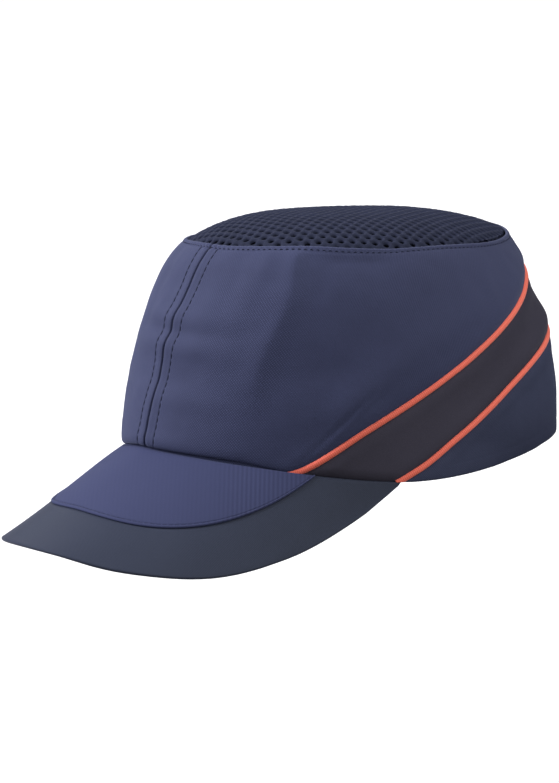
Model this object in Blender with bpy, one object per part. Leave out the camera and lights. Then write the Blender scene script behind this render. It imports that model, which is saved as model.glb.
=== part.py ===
"""A bump cap: a peaked cloth cap with a mesh crown that holds a loose impact shell.

Metres, +Z up. The cap is as worn: the front faces -Y, the wearer's left is +X, and
the origin is the middle of the head opening, level with the lowest part of the rim.
"""

import math

import bmesh
import bpy
from mathutils import Vector

MM = 0.001

# ---------------------------------------------------------------- driving sizes
# Rim, seen from above: a front half and a rear half with their own fullness.
RIM_HALF_WIDTH = 87.5 * MM
RIM_FRONT = 103.9 * MM
RIM_REAR = 105.7 * MM
RIM_FULL_FRONT = 1.80
RIM_FULL_REAR = 2.36
RIM_ARCH_FRONT = 10.6 * MM      # rise of the rim over the peak
RIM_ARCH_END = 78.0             # degrees, where that rise ends
RIM_RISE_REAR = 7.5 * MM        # rise of the rim behind the ears
RIM_RISE_FROM, RIM_RISE_TO = 84.0, 136.0

# Crown seam, where the cloth meets the mesh.
SEAM_HALF_WIDTH = 65.1 * MM
SEAM_FRONT = 67.2 * MM
SEAM_REAR = 84.5 * MM
SEAM_HEIGHT = 96.9 * MM
SEAM_TILT = -1.3 * MM
SEAM_END_LIFT = 1.7 * MM        # the seam is this much higher front and back

# How the wall rounds over from the rim to the seam: (start, end) powers.
ROUND_FRONT = (1.41, 0.73)
ROUND_SIDE = (3.17, 0.70)
ROUND_REAR = (1.90, 0.99)

# Mesh dome.
DOME_RISE = 11.5 * MM
DOME_POWER = 3.0
DOME_CENTRE_Y = -5.0 * MM
DOME_EDGE = 0.975               # the mesh stops this far out from the dome's centre
MESH_THICK = 2.0 * MM

# Seams of the stripe: degrees round from the front, height of the seam.
UPPER_SEAM = ((46, 6.0), (63, 21.7), (85, 42.3), (109, 65.3), (123, 75.5),
              (133, 80.5), (150, 85.0), (180, 87.0))
LOWER_SEAM = ((74, 0.0), (82, 7.2), (93, 19.5), (107, 35.0), (117, 43.0),
              (126, 47.8), (135, 51.0), (150, 55.0), (180, 58.0))
PIPING_RADIUS = 1.5 * MM
PIPING_SLOT = 2.0 * MM          # cloth keeps this far from a piping's centre

CLOTH = 1.2 * MM
HALF_GAP = 0.2 * MM             # half the gap at the centre seams

# Peak.
PEAK_SLOPE = math.radians(32.8)
PEAK_TOP = 8.1 * MM
PEAK_ARCH = 6.17                # per metre, across the peak
PEAK_ARCH_END = 246.0           # per cubic metre, extra at the sides
PEAK_LIFT = 1.31                # per metre, the upturn towards the tip
PEAK_LENGTH = 73.8 * MM
PEAK_HALF_WIDTH = 84.1 * MM
PEAK_CENTRE = -86.9 * MM
PEAK_FULL = 2.16
PEAK_END_ANGLE = 74.0
PEAK_END_DROP = 1.6 * MM
PEAK_FLANGE = 3.5 * MM          # tucked under the rim
PEAK_UNDER_RIM = 0.6 * MM
BORDER_HALF_WIDTH = 67.8 * MM
BORDER_LENGTH = 42.5 * MM
BORDER_CENTRE = -57.0 * MM
BORDER_FULL = 2.2
SKIN = 0.6 * MM
BOARD_TOP = 1.0 * MM
BOARD_THICK = 1.2 * MM
PEAK_THICK = 3.2 * MM
BORDER_WRAP = 9.0 * MM          # how far the border folds under

# Sweatband and tape.
BAND_HEIGHT = 27.0 * MM
BAND_LIFT = 1.0 * MM
BAND_OFFSET = 2.2 * MM
BAND_THICK_FRONT = 2.2 * MM
BAND_THICK_SIDE = 1.4 * MM
BAND_SPLIT, BAND_END = 72.0, 146.0

# Impact shell.
SHELL_HALF_WIDTH = 82.5 * MM
SHELL_FRONT = 93.0 * MM
SHELL_REAR = 97.5 * MM
SHELL_FULL_FRONT = 1.86
SHELL_FULL_REAR = 2.25
SHELL_BASE, SHELL_TOP = 20.0 * MM, 103.0 * MM
SHELL_P, SHELL_Q = 2.6, 2.4
SHELL_EDGE = (43.0 * MM, 38.0 * MM, 52.0 * MM)   # front, side, rear
SHELL_WALL = 1.8 * MM
SHELL_COLUMNS, SHELL_ROWS = 40, 9
PAD_GAP = 0.9 * MM
PAD_THICK = 5.0 * MM

# Rear opening.
ARCH_HALF_WIDTH = 36.0 * MM
ARCH_HEIGHT = 40.5 * MM
ARCH_FULL = 2.3
BINDING_RADIUS = 1.1 * MM

# Size adjuster: distances round the back (to the wearer's left) and out from it.
STRAP_LOW, STRAP_HIGH = 12.0 * MM, 32.0 * MM
STRAP_THICK = 1.2 * MM
STRAP_OUT = -3.3 * MM
STRAP_END = -50.0 * MM
BAR_AT = 15.0 * MM
BAR_OUT = -1.0 * MM
BAR_RADIUS = 1.3 * MM
BAR_PITCH = 13.0 * MM
FOLD_RADIUS = 2.3 * MM
TAIL_FROM, TAIL_TO = 14.4 * MM, -24.0 * MM
PEEL_OUT = 2.1 * MM
PATCH_THICK = 1.2 * MM


# ---------------------------------------------------------------- small maths
def signed_power(value, fullness):
    return math.copysign(abs(value) ** (2.0 / fullness), value)


def ease(low, high, value):
    t = min(max((value - low) / (high - low), 0.0), 1.0)
    return t * t * (3.0 - 2.0 * t)


def mix(a, b, t):
    return a + (b - a) * t


def station_height(table, angle):
    """Height in metres of a smooth line through (degrees, millimetres) stations."""
    angle = min(max(abs(angle), table[0][0]), table[-1][0])
    k = 0
    while k < len(table) - 2 and angle > table[k + 1][0]:
        k += 1

    def slope(i):
        if i == 0:
            a, b = table[0], table[1]
        elif i == len(table) - 1:
            return 0.0
        else:
            a, b = table[i - 1], table[i + 1]
        return (b[1] - a[1]) / (b[0] - a[0])

    (x0, y0), (x1, y1) = table[k], table[k + 1]
    w = x1 - x0
    t = (angle - x0) / w
    h = ((2 * t ** 3 - 3 * t ** 2 + 1) * y0 + (t ** 3 - 2 * t ** 2 + t) * w * slope(k)
         + (3 * t ** 2 - 2 * t ** 3) * y1 + (t ** 3 - t ** 2) * w * slope(k + 1))
    return h * MM


def spread(low, high, count):
    return [mix(low, high, i / (count - 1)) for i in range(count)]


# ---------------------------------------------------------------- the cap's wall
def rim_height(angle):
    angle = abs(angle)
    if angle < RIM_ARCH_END:
        wave = 0.5 + 0.5 * math.cos(math.pi * angle / RIM_ARCH_END)
        return RIM_ARCH_FRONT * wave ** 0.65
    return RIM_RISE_REAR * ease(RIM_RISE_FROM, RIM_RISE_TO, angle)


def seam_height(angle):
    c = math.cos(math.radians(angle))
    return SEAM_HEIGHT + SEAM_TILT * c + SEAM_END_LIFT * c * c


def rim_plan(angle):
    c, s = math.cos(math.radians(angle)), math.sin(math.radians(angle))
    fullness = mix(RIM_FULL_REAR, RIM_FULL_FRONT, (1.0 + c) / 2.0)
    length = RIM_FRONT if c > 0 else RIM_REAR
    return RIM_HALF_WIDTH * signed_power(s, fullness), -length * signed_power(c, fullness)


def seam_plan(angle):
    c, s = math.cos(math.radians(angle)), math.sin(math.radians(angle))
    return SEAM_HALF_WIDTH * s, -(SEAM_FRONT if c > 0 else SEAM_REAR) * c


def wall(angle, height):
    """Point of the cap's outer surface at an angle from the front and a height."""
    c = math.cos(math.radians(angle))
    low, high = rim_height(angle), seam_height(angle)
    v = min(max((height - low) / (high - low), 0.0), 1.0)
    front, rear = max(c, 0.0) ** 2, max(-c, 0.0) ** 2
    lean = 0.0
    for weight, (p, q) in ((front, ROUND_FRONT), (rear, ROUND_REAR),
                           (1.0 - front - rear, ROUND_SIDE)):
        lean += weight * (1.0 - (1.0 - v ** p) ** q)
    (x0, y0), (x1, y1) = rim_plan(angle), seam_plan(angle)
    return Vector((mix(x0, x1, lean), mix(y0, y1, lean), height))


def surface_normal(surface, a, b, da, db, b_low, b_high):
    along = surface(a + da, b) - surface(a - da, b)
    up = surface(a, min(b + db, b_high)) - surface(a, max(b - db, b_low))
    return along.cross(up).normalized()


def wall_out(angle, height, out):
    """The wall moved outwards by out (inwards where it is negative)."""
    n = surface_normal(wall, angle, height, 0.3, 0.4 * MM, rim_height(angle),
                       seam_height(angle))
    return wall(angle, height) + n * out


def angle_at(x, height):
    """The angle, behind the ears on the wearer's left, where the wall reaches x."""
    low, high = 90.0, 180.0
    for _ in range(50):
        middle = (low + high) / 2
        if wall(middle, height).x > x:
            low = middle
        else:
            high = middle
    return (low + high) / 2


def seam_slot(table, angle):
    """Height that the cloth keeps from a piping's centre, measured up the wall."""
    a, b = max(angle - 0.5, table[0][0]), min(angle + 0.5, 180.0)
    pa, pb = (wall(t, station_height(table, t)) for t in (a, b))
    run = math.hypot(pb.x - pa.x, pb.y - pa.y)
    return PIPING_SLOT * math.hypot(1.0, (pb.z - pa.z) / max(run, 1e-6))


# ---------------------------------------------------------------- modelling tools
for old in list(bpy.data.objects):
    bpy.data.objects.remove(old, do_unlink=True)


def material(name, colour, roughness, metallic=0.0):
    m = bpy.data.materials.new(name)
    m.use_nodes = True
    shader = m.node_tree.nodes["Principled BSDF"]
    shader.inputs["Base Color"].default_value = (*colour, 1.0)
    shader.inputs["Roughness"].default_value = roughness
    shader.inputs["Metallic"].default_value = metallic
    m.diffuse_color = (*colour, 1.0)
    return m


NAVY = material("navy_cloth", (0.055, 0.066, 0.150), 0.75)
BLACK = material("black_satin", (0.010, 0.012, 0.022), 0.55)
MESH = material("crown_mesh", (0.009, 0.011, 0.028), 0.80)
CORAL = material("coral_piping", (0.78, 0.130, 0.090), 0.60)
CHARCOAL = material("charcoal_border", (0.024, 0.028, 0.040), 0.60)
BOARD = material("peak_board", (0.05, 0.05, 0.055), 0.60)
TERRY = material("sweatband", (0.020, 0.022, 0.030), 0.90)
WEBBING = material("webbing", (0.012, 0.013, 0.018), 0.80)
GRIP = material("hook_and_loop", (0.010, 0.010, 0.012), 0.95)
RING = material("ring_plastic", (0.015, 0.015, 0.017), 0.40)
ABS = material("shell_plastic", (0.030, 0.032, 0.038), 0.45)
FOAM = material("foam", (0.035, 0.036, 0.040), 0.90)


def joint_empty(name, place):
    empty = bpy.data.objects.new(name, None)
    empty.location = place
    empty.empty_display_size = 0.02
    bpy.context.scene.collection.objects.link(empty)
    return empty


def add_mesh(name, bm, look, parent=None):
    origin = parent.location if parent else Vector()
    bmesh.ops.translate(bm, verts=bm.verts, vec=-origin)
    data = bpy.data.meshes.new(name)
    bm.to_mesh(data)
    bm.free()
    data.materials.append(look)
    ob = bpy.data.objects.new(name, data)
    bpy.context.scene.collection.objects.link(ob)
    if parent:
        ob.parent = parent
    return ob


def thicken(ob, amount):
    solid = ob.modifiers.new("thickness", "SOLIDIFY")
    solid.thickness = amount
    solid.offset = -1.0
    solid.use_even_offset = True
    solid.use_quality_normals = True
    solid.use_rim = True
    return ob


def grid_mesh(columns, closed=False, pole=None, leave_out=()):
    """A sheet whose outer side faces out: columns run round, points run up."""
    bm = bmesh.new()
    rows = [[bm.verts.new(p) for p in column] for column in columns]
    n = len(rows)
    last = n if closed else n - 1
    for i in range(last):
        a, b = rows[i], rows[(i + 1) % n]
        for j in range(len(a) - 1):
            if (i, j) not in leave_out:
                bm.faces.new((a[j], b[j], b[j + 1], a[j + 1]))
    if pole is not None:
        top = bm.verts.new(pole)
        for i in range(last):
            bm.faces.new((rows[i][-1], rows[(i + 1) % n][-1], top))
    return bm


def panel(name, side, angles, low, high, out, thick, look, rows=4, ends=False):
    """A piece of the wall between two height lines, on one side of the cap."""
    columns = []
    for angle in angles:
        z0, z1 = low(angle), high(angle)
        column = []
        for j in range(rows + 1):
            t = j / rows
            p = wall_out(angle, mix(z0, z1, 1.0 - (1.0 - t) ** 1.35), out)
            if ends and abs(p.x) < HALF_GAP:
                p.x = HALF_GAP
            p.x *= side
            column.append(p)
        columns.append(column)
    if side < 0:
        columns.reverse()
    return thicken(add_mesh(name, grid_mesh(columns), look), thick)


def tube(name, points, radius, look, sides=1, cyclic=False, parent=None):
    origin = parent.location if parent else Vector()
    data = bpy.data.curves.new(name, "CURVE")
    data.dimensions = "3D"
    data.bevel_depth = radius
    data.bevel_resolution = sides
    data.use_fill_caps = not cyclic
    line = data.splines.new("POLY")
    line.points.add(len(points) - 1)
    for spot, p in zip(line.points, points):
        spot.co = (*(p - origin), 1.0)
    line.use_cyclic_u = cyclic
    data.materials.append(look)
    ob = bpy.data.objects.new(name, data)
    bpy.context.scene.collection.objects.link(ob)
    if parent:
        ob.parent = parent
    return ob


SIDES = (("left", 1.0), ("right", -1.0))

# ---------------------------------------------------------------- cloth panels
upper = lambda a: station_height(UPPER_SEAM, a)
lower = lambda a: station_height(LOWER_SEAM, a)


def front_low(angle):
    if angle <= UPPER_SEAM[0][0]:
        base = rim_height(angle)
        near = upper(46.0) + seam_slot(UPPER_SEAM, 46.6) - rim_height(46.0)
        return base + near * ease(42.0, 46.0, angle)
    return upper(angle) + seam_slot(UPPER_SEAM, angle)


def stripe_low(angle):
    if angle <= LOWER_SEAM[0][0]:
        near = lower(74.0) + seam_slot(LOWER_SEAM, 74.6) - rim_height(74.0)
        return rim_height(angle) + max(near, 0.0) * ease(70.0, 74.0, angle)
    return max(lower(angle) + seam_slot(LOWER_SEAM, angle), rim_height(angle))


def stripe_high(angle):
    return upper(angle) - seam_slot(UPPER_SEAM, angle)


def rear_high(angle):
    return lower(angle) - seam_slot(LOWER_SEAM, angle)


def arch_curve(turn, grow):
    """Point of the rear opening's edge, as distance from the middle and height."""
    return ((ARCH_HALF_WIDTH + grow) * signed_power(math.cos(turn), ARCH_FULL),
            RIM_RISE_REAR + (ARCH_HEIGHT + grow) * signed_power(math.sin(turn), ARCH_FULL))


FRONT_ANGLES = spread(0.0, 40.0, 9) + [42.0, 44.0, 46.0] + spread(49.0, 180.0, 19)
STRIPE_ANGLES = [50.5, 54.0] + spread(58.0, 70.0, 4) + [72.0, 74.0] + spread(77.0, 180.0, 18)

for word, side in SIDES:
    panel("front_panel_" + word, side, FRONT_ANGLES, front_low,
          lambda a: seam_height(a), 0.0, CLOTH, NAVY, rows=4, ends=True)
    panel("stripe_panel_" + word, side, STRIPE_ANGLES, stripe_low, stripe_high,
          0.0, CLOTH, BLACK, rows=3, ends=True)

    # The rear panel is cut away round the rear opening.
    edge_x = ARCH_HALF_WIDTH + 1.6 * MM
    corner = angle_at(edge_x, RIM_RISE_REAR)
    stops = [(a, rim_height(a)) for a in spread(79.5, corner, 15)]
    for turn in spread(0.0, math.pi / 2, 9)[1:]:
        x, z = arch_curve(turn, 1.6 * MM)
        stops.append((angle_at(max(x, 0.0), z) if x > 1e-6 else 180.0, z))
    lows = {a: z for a, z in stops}
    panel("rear_panel_" + word, side, [a for a, _ in stops], lambda a: lows[a],
          rear_high, 0.0, CLOTH, NAVY, rows=4, ends=True)

    for level, table, start in (("upper", UPPER_SEAM, 47.6), ("lower", LOWER_SEAM, 76.0)):
        points = []
        for a in spread(start, 180.0, 24):
            p = wall_out(a, station_height(table, a), -0.1 * MM)
            p.x = max(p.x, HALF_GAP) * side
            points.append(p)
        tube(level + "_piping_" + word, points, PIPING_RADIUS, CORAL)

# Mesh crown: a shallow dome whose edge goes under the cloth's top edge.
mean_seam = SEAM_HEIGHT + SEAM_END_LIFT / 2


def dome(angle, r):
    x, y = seam_plan(angle)
    z = seam_height(angle)
    return Vector((x * r, mix(DOME_CENTRE_Y, y, r),
                   mean_seam + (z - mean_seam) * r * r
                   + DOME_RISE * (1.0 - r ** DOME_POWER)))


columns = [[dome(a, r) - Vector((0, 0, 0.4 * MM)) for r in (DOME_EDGE, 0.88, 0.74, 0.55, 0.30)]
           for a in spread(0.0, 360.0, 37)[:-1]]
crown = add_mesh("crown_mesh", grid_mesh(columns, closed=True, pole=dome(0.0, 0.0)), MESH)
thicken(crown, MESH_THICK)

# Tape over the front seam, inside.
columns = [[wall_out(a, z, -2.3 * MM) for z in spread(42.0 * MM, 86.0 * MM, 7)]
           for a in (-5.0, 0.0, 5.0)]
thicken(add_mesh("front_seam_tape", grid_mesh(columns), WEBBING), 0.4 * MM)

# Sweatband, in three lengths.
def band_low(angle):
    return rim_height(angle) + BAND_LIFT


def band_high(angle):
    return rim_height(angle) + BAND_LIFT + BAND_HEIGHT


columns = [[wall_out(a, mix(band_low(a), band_high(a), t), -BAND_OFFSET)
            for t in (0.0, 0.33, 0.67, 1.0)]
           for a in spread(-BAND_SPLIT + 1.0, BAND_SPLIT - 1.0, 23)]
thicken(add_mesh("sweatband_front", grid_mesh(columns), TERRY), BAND_THICK_FRONT)
for word, side in SIDES:
    panel("sweatband_" + word, side, spread(BAND_SPLIT, BAND_END, 12), band_low, band_high,
          -BAND_OFFSET, BAND_THICK_SIDE, TERRY, rows=3)


# ---------------------------------------------------------------- peak
def peak(x, s):
    """Top of the peak at x across and s down the slope from the rim's front."""
    drop = PEAK_ARCH * x * x + PEAK_ARCH_END * x ** 4
    ends = PEAK_END_DROP * ease(76.0 * MM, 84.0 * MM, abs(x))
    return Vector((x, -RIM_FRONT - s * math.cos(PEAK_SLOPE),
                   PEAK_TOP - s * math.sin(PEAK_SLOPE) + PEAK_LIFT * max(s, 0.0) ** 2
                   - drop - ends))


def peak_inner(t):
    x, y = rim_plan(PEAK_END_ANGLE * t)
    return x, (-RIM_FRONT - y) / math.cos(PEAK_SLOPE)


def peak_outer(t):
    turn = math.pi / 2 * t
    return (PEAK_HALF_WIDTH * signed_power(math.sin(turn), PEAK_FULL),
            PEAK_CENTRE + (PEAK_LENGTH - PEAK_CENTRE)
            * signed_power(math.cos(turn), PEAK_FULL))


def peak_width(t):
    (x0, s0), (x1, s1) = peak_inner(t), peak_outer(t)
    return (peak(x1, s1) - peak(x0, s0)).length


def peak_top(t, k):
    """k runs from -1 (tucked under the rim) over 0 (the rim) to 1 (the peak's edge)."""
    (x0, s0), (x1, s1) = peak_inner(t), peak_outer(t)
    kk = max(k, 0.0)
    p = peak(mix(x0, x1, kk), mix(s0, s1, kk))
    p.z += (1.0 - kk) ** 2 * (rim_height(PEAK_END_ANGLE * t) - PEAK_UNDER_RIM - peak(x0, s0).z)
    if k < 0.0:
        p -= k * PEAK_FLANGE * Vector((-p.x, -p.y, 0.0)).normalized()
    return p


def peak_ray(t, k, depth):
    """Point of the peak at a depth below its top, kept even over the fold at the rim."""
    along = peak_top(min(t + 0.01, 1.0), k) - peak_top(max(t - 0.01, -1.0), k)
    here = peak_top(t, k)
    inner, outer = max(k - 0.02, -1.0), min(k + 0.02, 1.0)
    sides = []
    if inner < k:
        sides.append(along.cross(peak_top(t, inner) - here).normalized())
    if outer > k:
        sides.append(along.cross(here - peak_top(t, outer)).normalized())
    n = sum(sides, Vector()).normalized()
    return here - n * depth / max(n.dot(sides[0]), 0.6)


def in_border(t, k):
    (x0, s0), (x1, s1) = peak_inner(t), peak_outer(t)
    x, s = mix(x0, x1, k), mix(s0, s1, k)
    return (abs(x / BORDER_HALF_WIDTH) ** BORDER_FULL
            + abs(max(s - BORDER_CENTRE, 0.0) / (BORDER_LENGTH - BORDER_CENTRE)) ** BORDER_FULL) > 1.0


def border_line(t):
    if in_border(t, 0.0):
        return -1.0
    low, high = 0.0, 1.0
    for _ in range(40):
        middle = (low + high) / 2
        if in_border(t, middle):
            high = middle
        else:
            low = middle
    return low


cover_end = max(t for t in spread(0.0, 1.0, 2001) if border_line(t) >= 0.0)
COVER_TURNS = [cover_end * math.sin(math.pi / 2 * u) for u in spread(-1.0, 1.0, 19)]
BOARD_TURNS = ([-t for t in spread(0.91, cover_end + 0.01, 6)] + COVER_TURNS
               + spread(cover_end + 0.01, 0.91, 6))
PEAK_TURNS = [-1.0, -0.955] + BOARD_TURNS + [0.955, 1.0]

def peak_rows(t, first, last, count):
    """Stations from the peak's edge back to the rim, with the flange at the end."""
    rows = spread(last, max(first, 0.0), count)
    return rows + [-1.0] if first <= 0.0 else rows


columns = [[peak_ray(t, k, BOARD_TOP)
            for k in peak_rows(t, 0.0, 1.0 - 1.5 * MM / peak_width(t), 7)]
           for t in BOARD_TURNS]
thicken(add_mesh("peak_board", grid_mesh(columns), BOARD), BOARD_THICK)

columns = []
last = COVER_TURNS[-1] - 0.004
for t in [-last] + COVER_TURNS[1:-1] + [last]:
    k = border_line(t)
    if abs(t) == last:
        k = 0.5 * border_line(COVER_TURNS[-2])
    k -= 0.45 * MM / peak_width(t)
    rows = peak_rows(t, 0.0, k, 5) if k > 0.02 else spread(-0.15, -1.0, 6)
    columns.append([peak_ray(t, kk, 0.0) for kk in rows])
thicken(add_mesh("peak_top_cover", grid_mesh(columns), NAVY), SKIN)


def wrap_width(t):
    return min(BORDER_WRAP, 0.5 * peak_width(t) + 0.8 * MM)


columns = [[peak_ray(t, k, PEAK_THICK - SKIN)
            for k in peak_rows(t, 0.0, 1.0 - (wrap_width(t) + 0.35 * MM) / peak_width(t), 6)]
           for t in BOARD_TURNS]
thicken(add_mesh("peak_under_cover", grid_mesh(columns), NAVY), SKIN)

# The border is a folded strip: over the top, round the edge and a little way under.
bm = bmesh.new()
rings = []
for t in PEAK_TURNS:
    w = peak_width(t)
    tip = 1.0 - 0.8 * MM / w
    corner = 1.0 - 1.0 * MM / w
    wall_in = 1.0 - 0.6 * MM / w
    under = 1.0 - wrap_width(t) / w
    k_in = border_line(t)
    over = [k_in] + (spread(k_in + 0.02, tip, 6) if k_in >= 0.0 else spread(0.0, tip, 6))
    section = [(k, 0.0) for k in over]
    section += [(1.0, 0.8 * MM), (1.0, 2.4 * MM), (tip, PEAK_THICK), (under, PEAK_THICK),
                (under, PEAK_THICK - SKIN), (corner, PEAK_THICK - SKIN),
                (wall_in, 2.2 * MM), (wall_in, 1.0 * MM), (corner, SKIN)]
    section += [(k, SKIN) for k in over[-2::-1]]
    rings.append([bm.verts.new(peak_ray(t, k, d)) for k, d in section])
for a, b in zip(rings, rings[1:]):
    for j in range(len(a)):
        m = (j + 1) % len(a)
        bm.faces.new((a[j], a[m], b[m], b[j]))
bm.faces.new(rings[0][::-1])
bm.faces.new(rings[-1])
bmesh.ops.recalc_face_normals(bm, faces=bm.faces)
add_mesh("peak_border", bm, CHARCOAL)

# ---------------------------------------------------------------- rear opening
points = []
for turn in spread(0.03, math.pi - 0.03, 27):
    x, z = arch_curve(turn, 0.1 * MM)
    a = angle_at(abs(x), z) if abs(x) > 1e-6 else 180.0
    p = wall_out(a, z, -0.6 * MM)
    p.x = math.copysign(p.x, x)
    points.append(p)
tube("rear_arch_binding", points, BINDING_RADIUS, WEBBING)

# ---------------------------------------------------------------- size adjuster
STRAP_LEVEL = (STRAP_LOW + STRAP_HIGH) / 2
back_line = [wall(a, STRAP_LEVEL) for a in spread(120.0, 240.0, 961)]
back_run = [0.0]
for p, q in zip(back_line, back_line[1:]):
    back_run.append(back_run[-1] + (q - p).length)
middle_run = back_run[-1] / 2


def round_back(run, out, height):
    """Point at a run round the back, to the wearer's left, and out from the wall."""
    want = middle_run - run
    k = 0
    while k < len(back_run) - 2 and back_run[k + 1] < want:
        k += 1
    t = (want - back_run[k]) / (back_run[k + 1] - back_run[k])
    p = back_line[k].lerp(back_line[k + 1], t)
    k0, k1 = max(k - 6, 0), min(k + 7, len(back_line) - 1)
    along = back_line[k1] - back_line[k0]
    n = Vector((along.y, -along.x, 0.0)).normalized()
    q = p + n * out
    return Vector((q.x, q.y, height))


def band(name, path, thick, low, high, look, parent=None):
    """A strap on edge, whose middle follows a path of (run, out) points."""
    sections = []
    for i, (u, d) in enumerate(path):
        a, b = path[max(i - 1, 0)], path[min(i + 1, len(path) - 1)]
        length = math.hypot(b[0] - a[0], b[1] - a[1])
        nu, nd = -(b[1] - a[1]) / length, (b[0] - a[0]) / length
        h = thick / 2
        sections.append([round_back(u + nu * h, d + nd * h, low),
                         round_back(u + nu * h, d + nd * h, high),
                         round_back(u - nu * h, d - nd * h, high),
                         round_back(u - nu * h, d - nd * h, low)])
    bm = bmesh.new()
    rings = [[bm.verts.new(p) for p in s] for s in sections]
    for a, b in zip(rings, rings[1:]):
        for j in range(4):
            m = (j + 1) % 4
            bm.faces.new((a[j], a[m], b[m], b[j]))
    bm.faces.new(rings[0][::-1])
    bm.faces.new(rings[-1])
    bmesh.ops.recalc_face_normals(bm, faces=bm.faces)
    return add_mesh(name, bm, look, parent)


def half_turn(at, out, way):
    """Half a turn round a bar of the ring, from its inner side to its outer side."""
    return [(at + way * FOLD_RADIUS * math.cos(a), out + FOLD_RADIUS * math.sin(a))
            for a in spread(-math.pi / 2, math.pi / 2, 9)]


left_bar = BAR_AT + BAR_PITCH
band("adjuster_strap", [(u, STRAP_OUT) for u in spread(STRAP_END, BAR_AT - 2.0 * MM, 18)]
     + half_turn(BAR_AT, BAR_OUT, 1.0), STRAP_THICK, STRAP_LOW, STRAP_HIGH, WEBBING)
band("adjuster_tab", [(u, STRAP_OUT) for u in spread(50.0 * MM, left_bar + 1.5 * MM, 7)]
     + half_turn(left_bar, BAR_OUT, -1.0) + [(left_bar + 3.0 * MM, BAR_OUT + FOLD_RADIUS)],
     STRAP_THICK, STRAP_LOW, STRAP_HIGH, WEBBING)
band("loop_patch", [(u, STRAP_OUT + 1.5 * MM) for u in spread(-27.0 * MM, 9.0 * MM, 10)],
     PATCH_THICK, STRAP_LOW + 1.0 * MM, STRAP_HIGH - 1.0 * MM, GRIP)

ring_points = []
ring_low, ring_high, bend = STRAP_LOW - 2.5 * MM, STRAP_HIGH + 2.5 * MM, 3.0 * MM
for cu, cz, start in ((left_bar - bend, ring_high - bend, 0.0), (BAR_AT + bend, ring_high - bend, 90.0),
                      (BAR_AT + bend, ring_low + bend, 180.0), (left_bar - bend, ring_low + bend, 270.0)):
    for a in spread(start, start + 90.0, 4):
        ring_points.append(round_back(cu + bend * math.cos(math.radians(a)), BAR_OUT,
                                      cz + bend * math.sin(math.radians(a))))
tube("adjuster_ring", ring_points, BAR_RADIUS, RING, sides=2, cyclic=True)

peel_axis = joint_empty("strap_peel_axis", round_back(TAIL_FROM, PEEL_OUT, STRAP_LEVEL))
tail_out = BAR_OUT + FOLD_RADIUS
band("strap_tail", [(u, tail_out) for u in spread(TAIL_TO, TAIL_FROM, 11)],
     STRAP_THICK, STRAP_LOW, STRAP_HIGH, WEBBING, peel_axis)
band("hook_patch", [(u, tail_out - 1.5 * MM) for u in spread(-22.0 * MM, 8.0 * MM, 8)],
     PATCH_THICK, STRAP_LOW + 1.0 * MM, STRAP_HIGH - 1.0 * MM, GRIP, peel_axis)

# ---------------------------------------------------------------- impact shell
shell_axis = joint_empty("shell_axis", Vector((0.0, 0.0, SHELL_BASE)))


def shell_rise(turn):
    return mix(SHELL_BASE, SHELL_TOP, math.sin(turn) ** (2.0 / SHELL_P))


def shell_turn(height):
    share = min(max((height - SHELL_BASE) / (SHELL_TOP - SHELL_BASE), 0.0), 1.0)
    return math.asin(share ** (SHELL_P / 2.0))


def shell(angle, turn):
    c, s = math.cos(math.radians(angle)), math.sin(math.radians(angle))
    fullness = mix(SHELL_FULL_REAR, SHELL_FULL_FRONT, (1.0 + c) / 2.0)
    reach = max(math.cos(turn), 0.0) ** (2.0 / SHELL_Q)
    length = SHELL_FRONT if c > 0 else SHELL_REAR
    return Vector((SHELL_HALF_WIDTH * signed_power(s, fullness) * reach,
                   -length * signed_power(c, fullness) * reach, shell_rise(turn)))


def shell_in(angle, turn, inward):
    n = surface_normal(shell, angle, turn, 0.5, 0.01, 0.02, math.pi / 2 - 0.002)
    return shell(angle, turn) - n * inward


def shell_edge(angle):
    c = math.cos(math.radians(angle))
    front, side, rear = SHELL_EDGE
    return (side + (front - side) * max(c, 0.0) ** 2 + (rear - side) * max(-c, 0.0) ** 2)


top_turn = math.pi / 2
columns = []
for i in range(SHELL_COLUMNS):
    a = 360.0 * i / SHELL_COLUMNS
    start = shell_turn(shell_edge(a))
    columns.append([shell(a, mix(start, top_turn, j / SHELL_ROWS)) for j in range(SHELL_ROWS)])
slots = {(i, j) for i in range(0, SHELL_COLUMNS, 4) for j in (2, 3)}
slots |= {(i + 2, j) for i in range(0, SHELL_COLUMNS, 4) for j in (5, 6)}
vented = grid_mesh(columns, closed=True, pole=Vector((0, 0, SHELL_TOP)), leave_out=slots)
thicken(add_mesh("impact_shell", vented, ABS, shell_axis), SHELL_WALL)

inset = SHELL_WALL + PAD_GAP


def pad(name, angles, low, high, rows=3):
    columns = [[shell_in(a, mix(shell_turn(low), shell_turn(high), j / rows), inset)
                for j in range(rows + 1)] for a in angles]
    return thicken(add_mesh(name, grid_mesh(columns), FOAM, shell_axis), PAD_THICK)


pad("front_pad", spread(-36.0, 36.0, 9), 47.0 * MM, 74.0 * MM)
pad("rear_pad", spread(144.0, 216.0, 9), 57.0 * MM, 80.0 * MM)
pad("side_pad_left", spread(63.0, 117.0, 7), 44.0 * MM, 72.0 * MM)
pad("side_pad_right", spread(-117.0, -63.0, 7), 44.0 * MM, 72.0 * MM)
columns = [[shell_in(a, math.radians(turn), inset) for turn in (66.0, 74.0, 82.0)]
           for a in spread(0.0, 360.0, 25)[:-1]]
thicken(add_mesh("crown_pad", grid_mesh(columns, closed=True,
                 pole=Vector((0, 0, SHELL_TOP - inset))), FOAM, shell_axis), PAD_THICK)
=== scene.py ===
import math

import bpy
import numpy as np
from mathutils import Matrix, Vector, noise


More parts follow.
